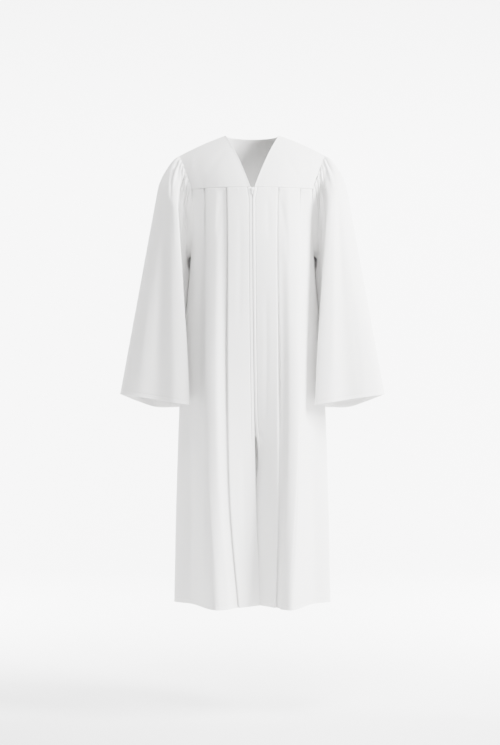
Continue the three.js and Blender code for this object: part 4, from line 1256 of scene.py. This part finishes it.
def make_pull():
    """The pull tab with its eye, and the raised grips across its lower half."""
    half, foot, length, bar = PULL["half"], PULL["foot"], PULL["length"], PULL["thick"] / 2
    end = foot - length
    tab = [(-half, -bar), (-foot, end)]
    tab += quad((-foot, end), (-foot, -length), (0, -length))[1:]
    tab += quad((0, -length), (foot, -length), (foot, end))[1:]
    tab += quad((half, -bar), (half, bar), (half - bar, bar))
    tab += quad((bar - half, bar), (-half, bar), (-half, -bar))[:-1]
    eye, low = PULL["eye_half"], -PULL["eye_end"]
    hole = [(-eye, -bar), (eye, -bar), (eye, low), (-eye, low)]
    front = -SLIDER["thick"] - PULL["axis"]
    points, faces = filled_curve("pull_tab_plate", [tab, hole], PULL["thick"], PULL["bevel"])
    parts = [(points + [0, front + bar, 0], faces)]
    wide, high, thick = GRIP["half_width"], GRIP["half_height"], GRIP["thick"]
    for z in GRIP["heights"]:
        over = quad((-wide, z), (0, z + high), (wide, z), 6)
        under = quad((wide, z), (0, z - high), (-wide, z), 6)[1:-1]
        points, faces = filled_curve("grip", [over + under], thick, GRIP["bevel"])
        parts.append((points + [0, front - bar + thick / 2, 0], faces))
    finish_piece(joined("pull", parts), zip_plastic, "zip_plastic", "zip_pull", body="pull_tab")


# The studio, in metres: a pale floor that turns up into a backdrop, and for each lamp its name,
# place, aim, size and power. The key comes from the viewer's right and the fill from above, and the
# other lamps light the backdrop and the floor.
FLOOR = dict(z=-1.455, half_width=9.0, front=-6.0, bend_from=3.0, bend=2.0, first_turn=0.2, top=9.0)
WORLD_LIGHT = 0.07
LIGHTS = [
    ("key", (2.8, -1.3, 1.0), (0, 0, -0.3), (1.2, 1.6), 660),
    ("top fill", (0.2, -2.2, 3.0), (0, 0, -0.4), (2.0, 1.4), 380),
    ("backdrop left", (-2.6, 1.3, 0.4), (-0.6, 4.6, -0.6), (1.6, 2.2), 800),
    ("backdrop right", (2.6, 1.3, 0.4), (0.6, 4.6, -0.6), (1.6, 2.2), 800),
    ("floor", (0, 2.6, 1.6), (0, 1.2, -1.45), (3.0, 1.2), 50),
]
CAMERA = dict(lens=80.7, place=(-0.0058, -4.204, -0.596), turn=(math.pi / 2, 0, 0))


def make_floor():
    start, radius, wide = FLOOR["bend_from"], FLOOR["bend"], FLOOR["half_width"]
    profile = [(FLOOR["front"], 0.0), (start, 0.0)]
    for t in np.linspace(FLOOR["first_turn"], math.pi / 2, 8):
        profile.append((start + radius * math.sin(t), radius - radius * math.cos(t)))
    profile.append((start + radius, FLOOR["top"]))
    points = [(x / MM, y / MM, (z + FLOOR["z"]) / MM) for y, z in profile for x in (-wide, wide)]
    faces = [[2 * i, 2 * i + 1, 2 * i + 3, 2 * i + 2] for i in range(len(profile) - 1)]
    floor = mesh_object("floor", points, faces)
    floor.data.materials.append(plain_material("floor", (0.9, 0.9, 0.9), 0.9))


def make_world():
    world = bpy.data.worlds.new("studio")
    world.use_nodes = True
    background = world.node_tree.nodes["Background"]
    background.inputs["Color"].default_value = (1, 1, 1, 1)
    background.inputs["Strength"].default_value = WORLD_LIGHT
    bpy.context.scene.world = world


def area_light(name, place, aim, size, power):
    """A rectangular lamp at a place, turned to face its aim."""
    lamp = bpy.data.lights.new(name, "AREA")
    lamp.shape = "RECTANGLE"
    lamp.size, lamp.size_y = size
    lamp.energy = power
    obj = bpy.data.objects.new(name, lamp)
    obj.location = place
    direction = np.array(aim, float) - np.array(place, float)
    yaw = math.atan2(direction[1], direction[0]) - math.pi / 2
    tilt = math.atan2(direction[2], math.hypot(direction[0], direction[1])) + math.pi / 2
    obj.rotation_euler = (tilt, 0, yaw)
    bpy.context.collection.objects.link(obj)


def make_camera():
    camera_data = bpy.data.cameras.new("camera")
    camera_data.lens = CAMERA["lens"]
    camera = bpy.data.objects.new("camera", camera_data)
    camera.location = CAMERA["place"]
    camera.rotation_euler = CAMERA["turn"]
    bpy.context.collection.objects.link(camera)
    bpy.context.scene.camera = camera


make_body()
make_front_yokes(yoke_columns())
make_back_yoke(yoke_columns())
make_sleeves()
make_tapes()
make_teeth()
make_slider()
make_pull()
make_floor()
make_world()
for light in LIGHTS:
    area_light(*light)
make_camera()
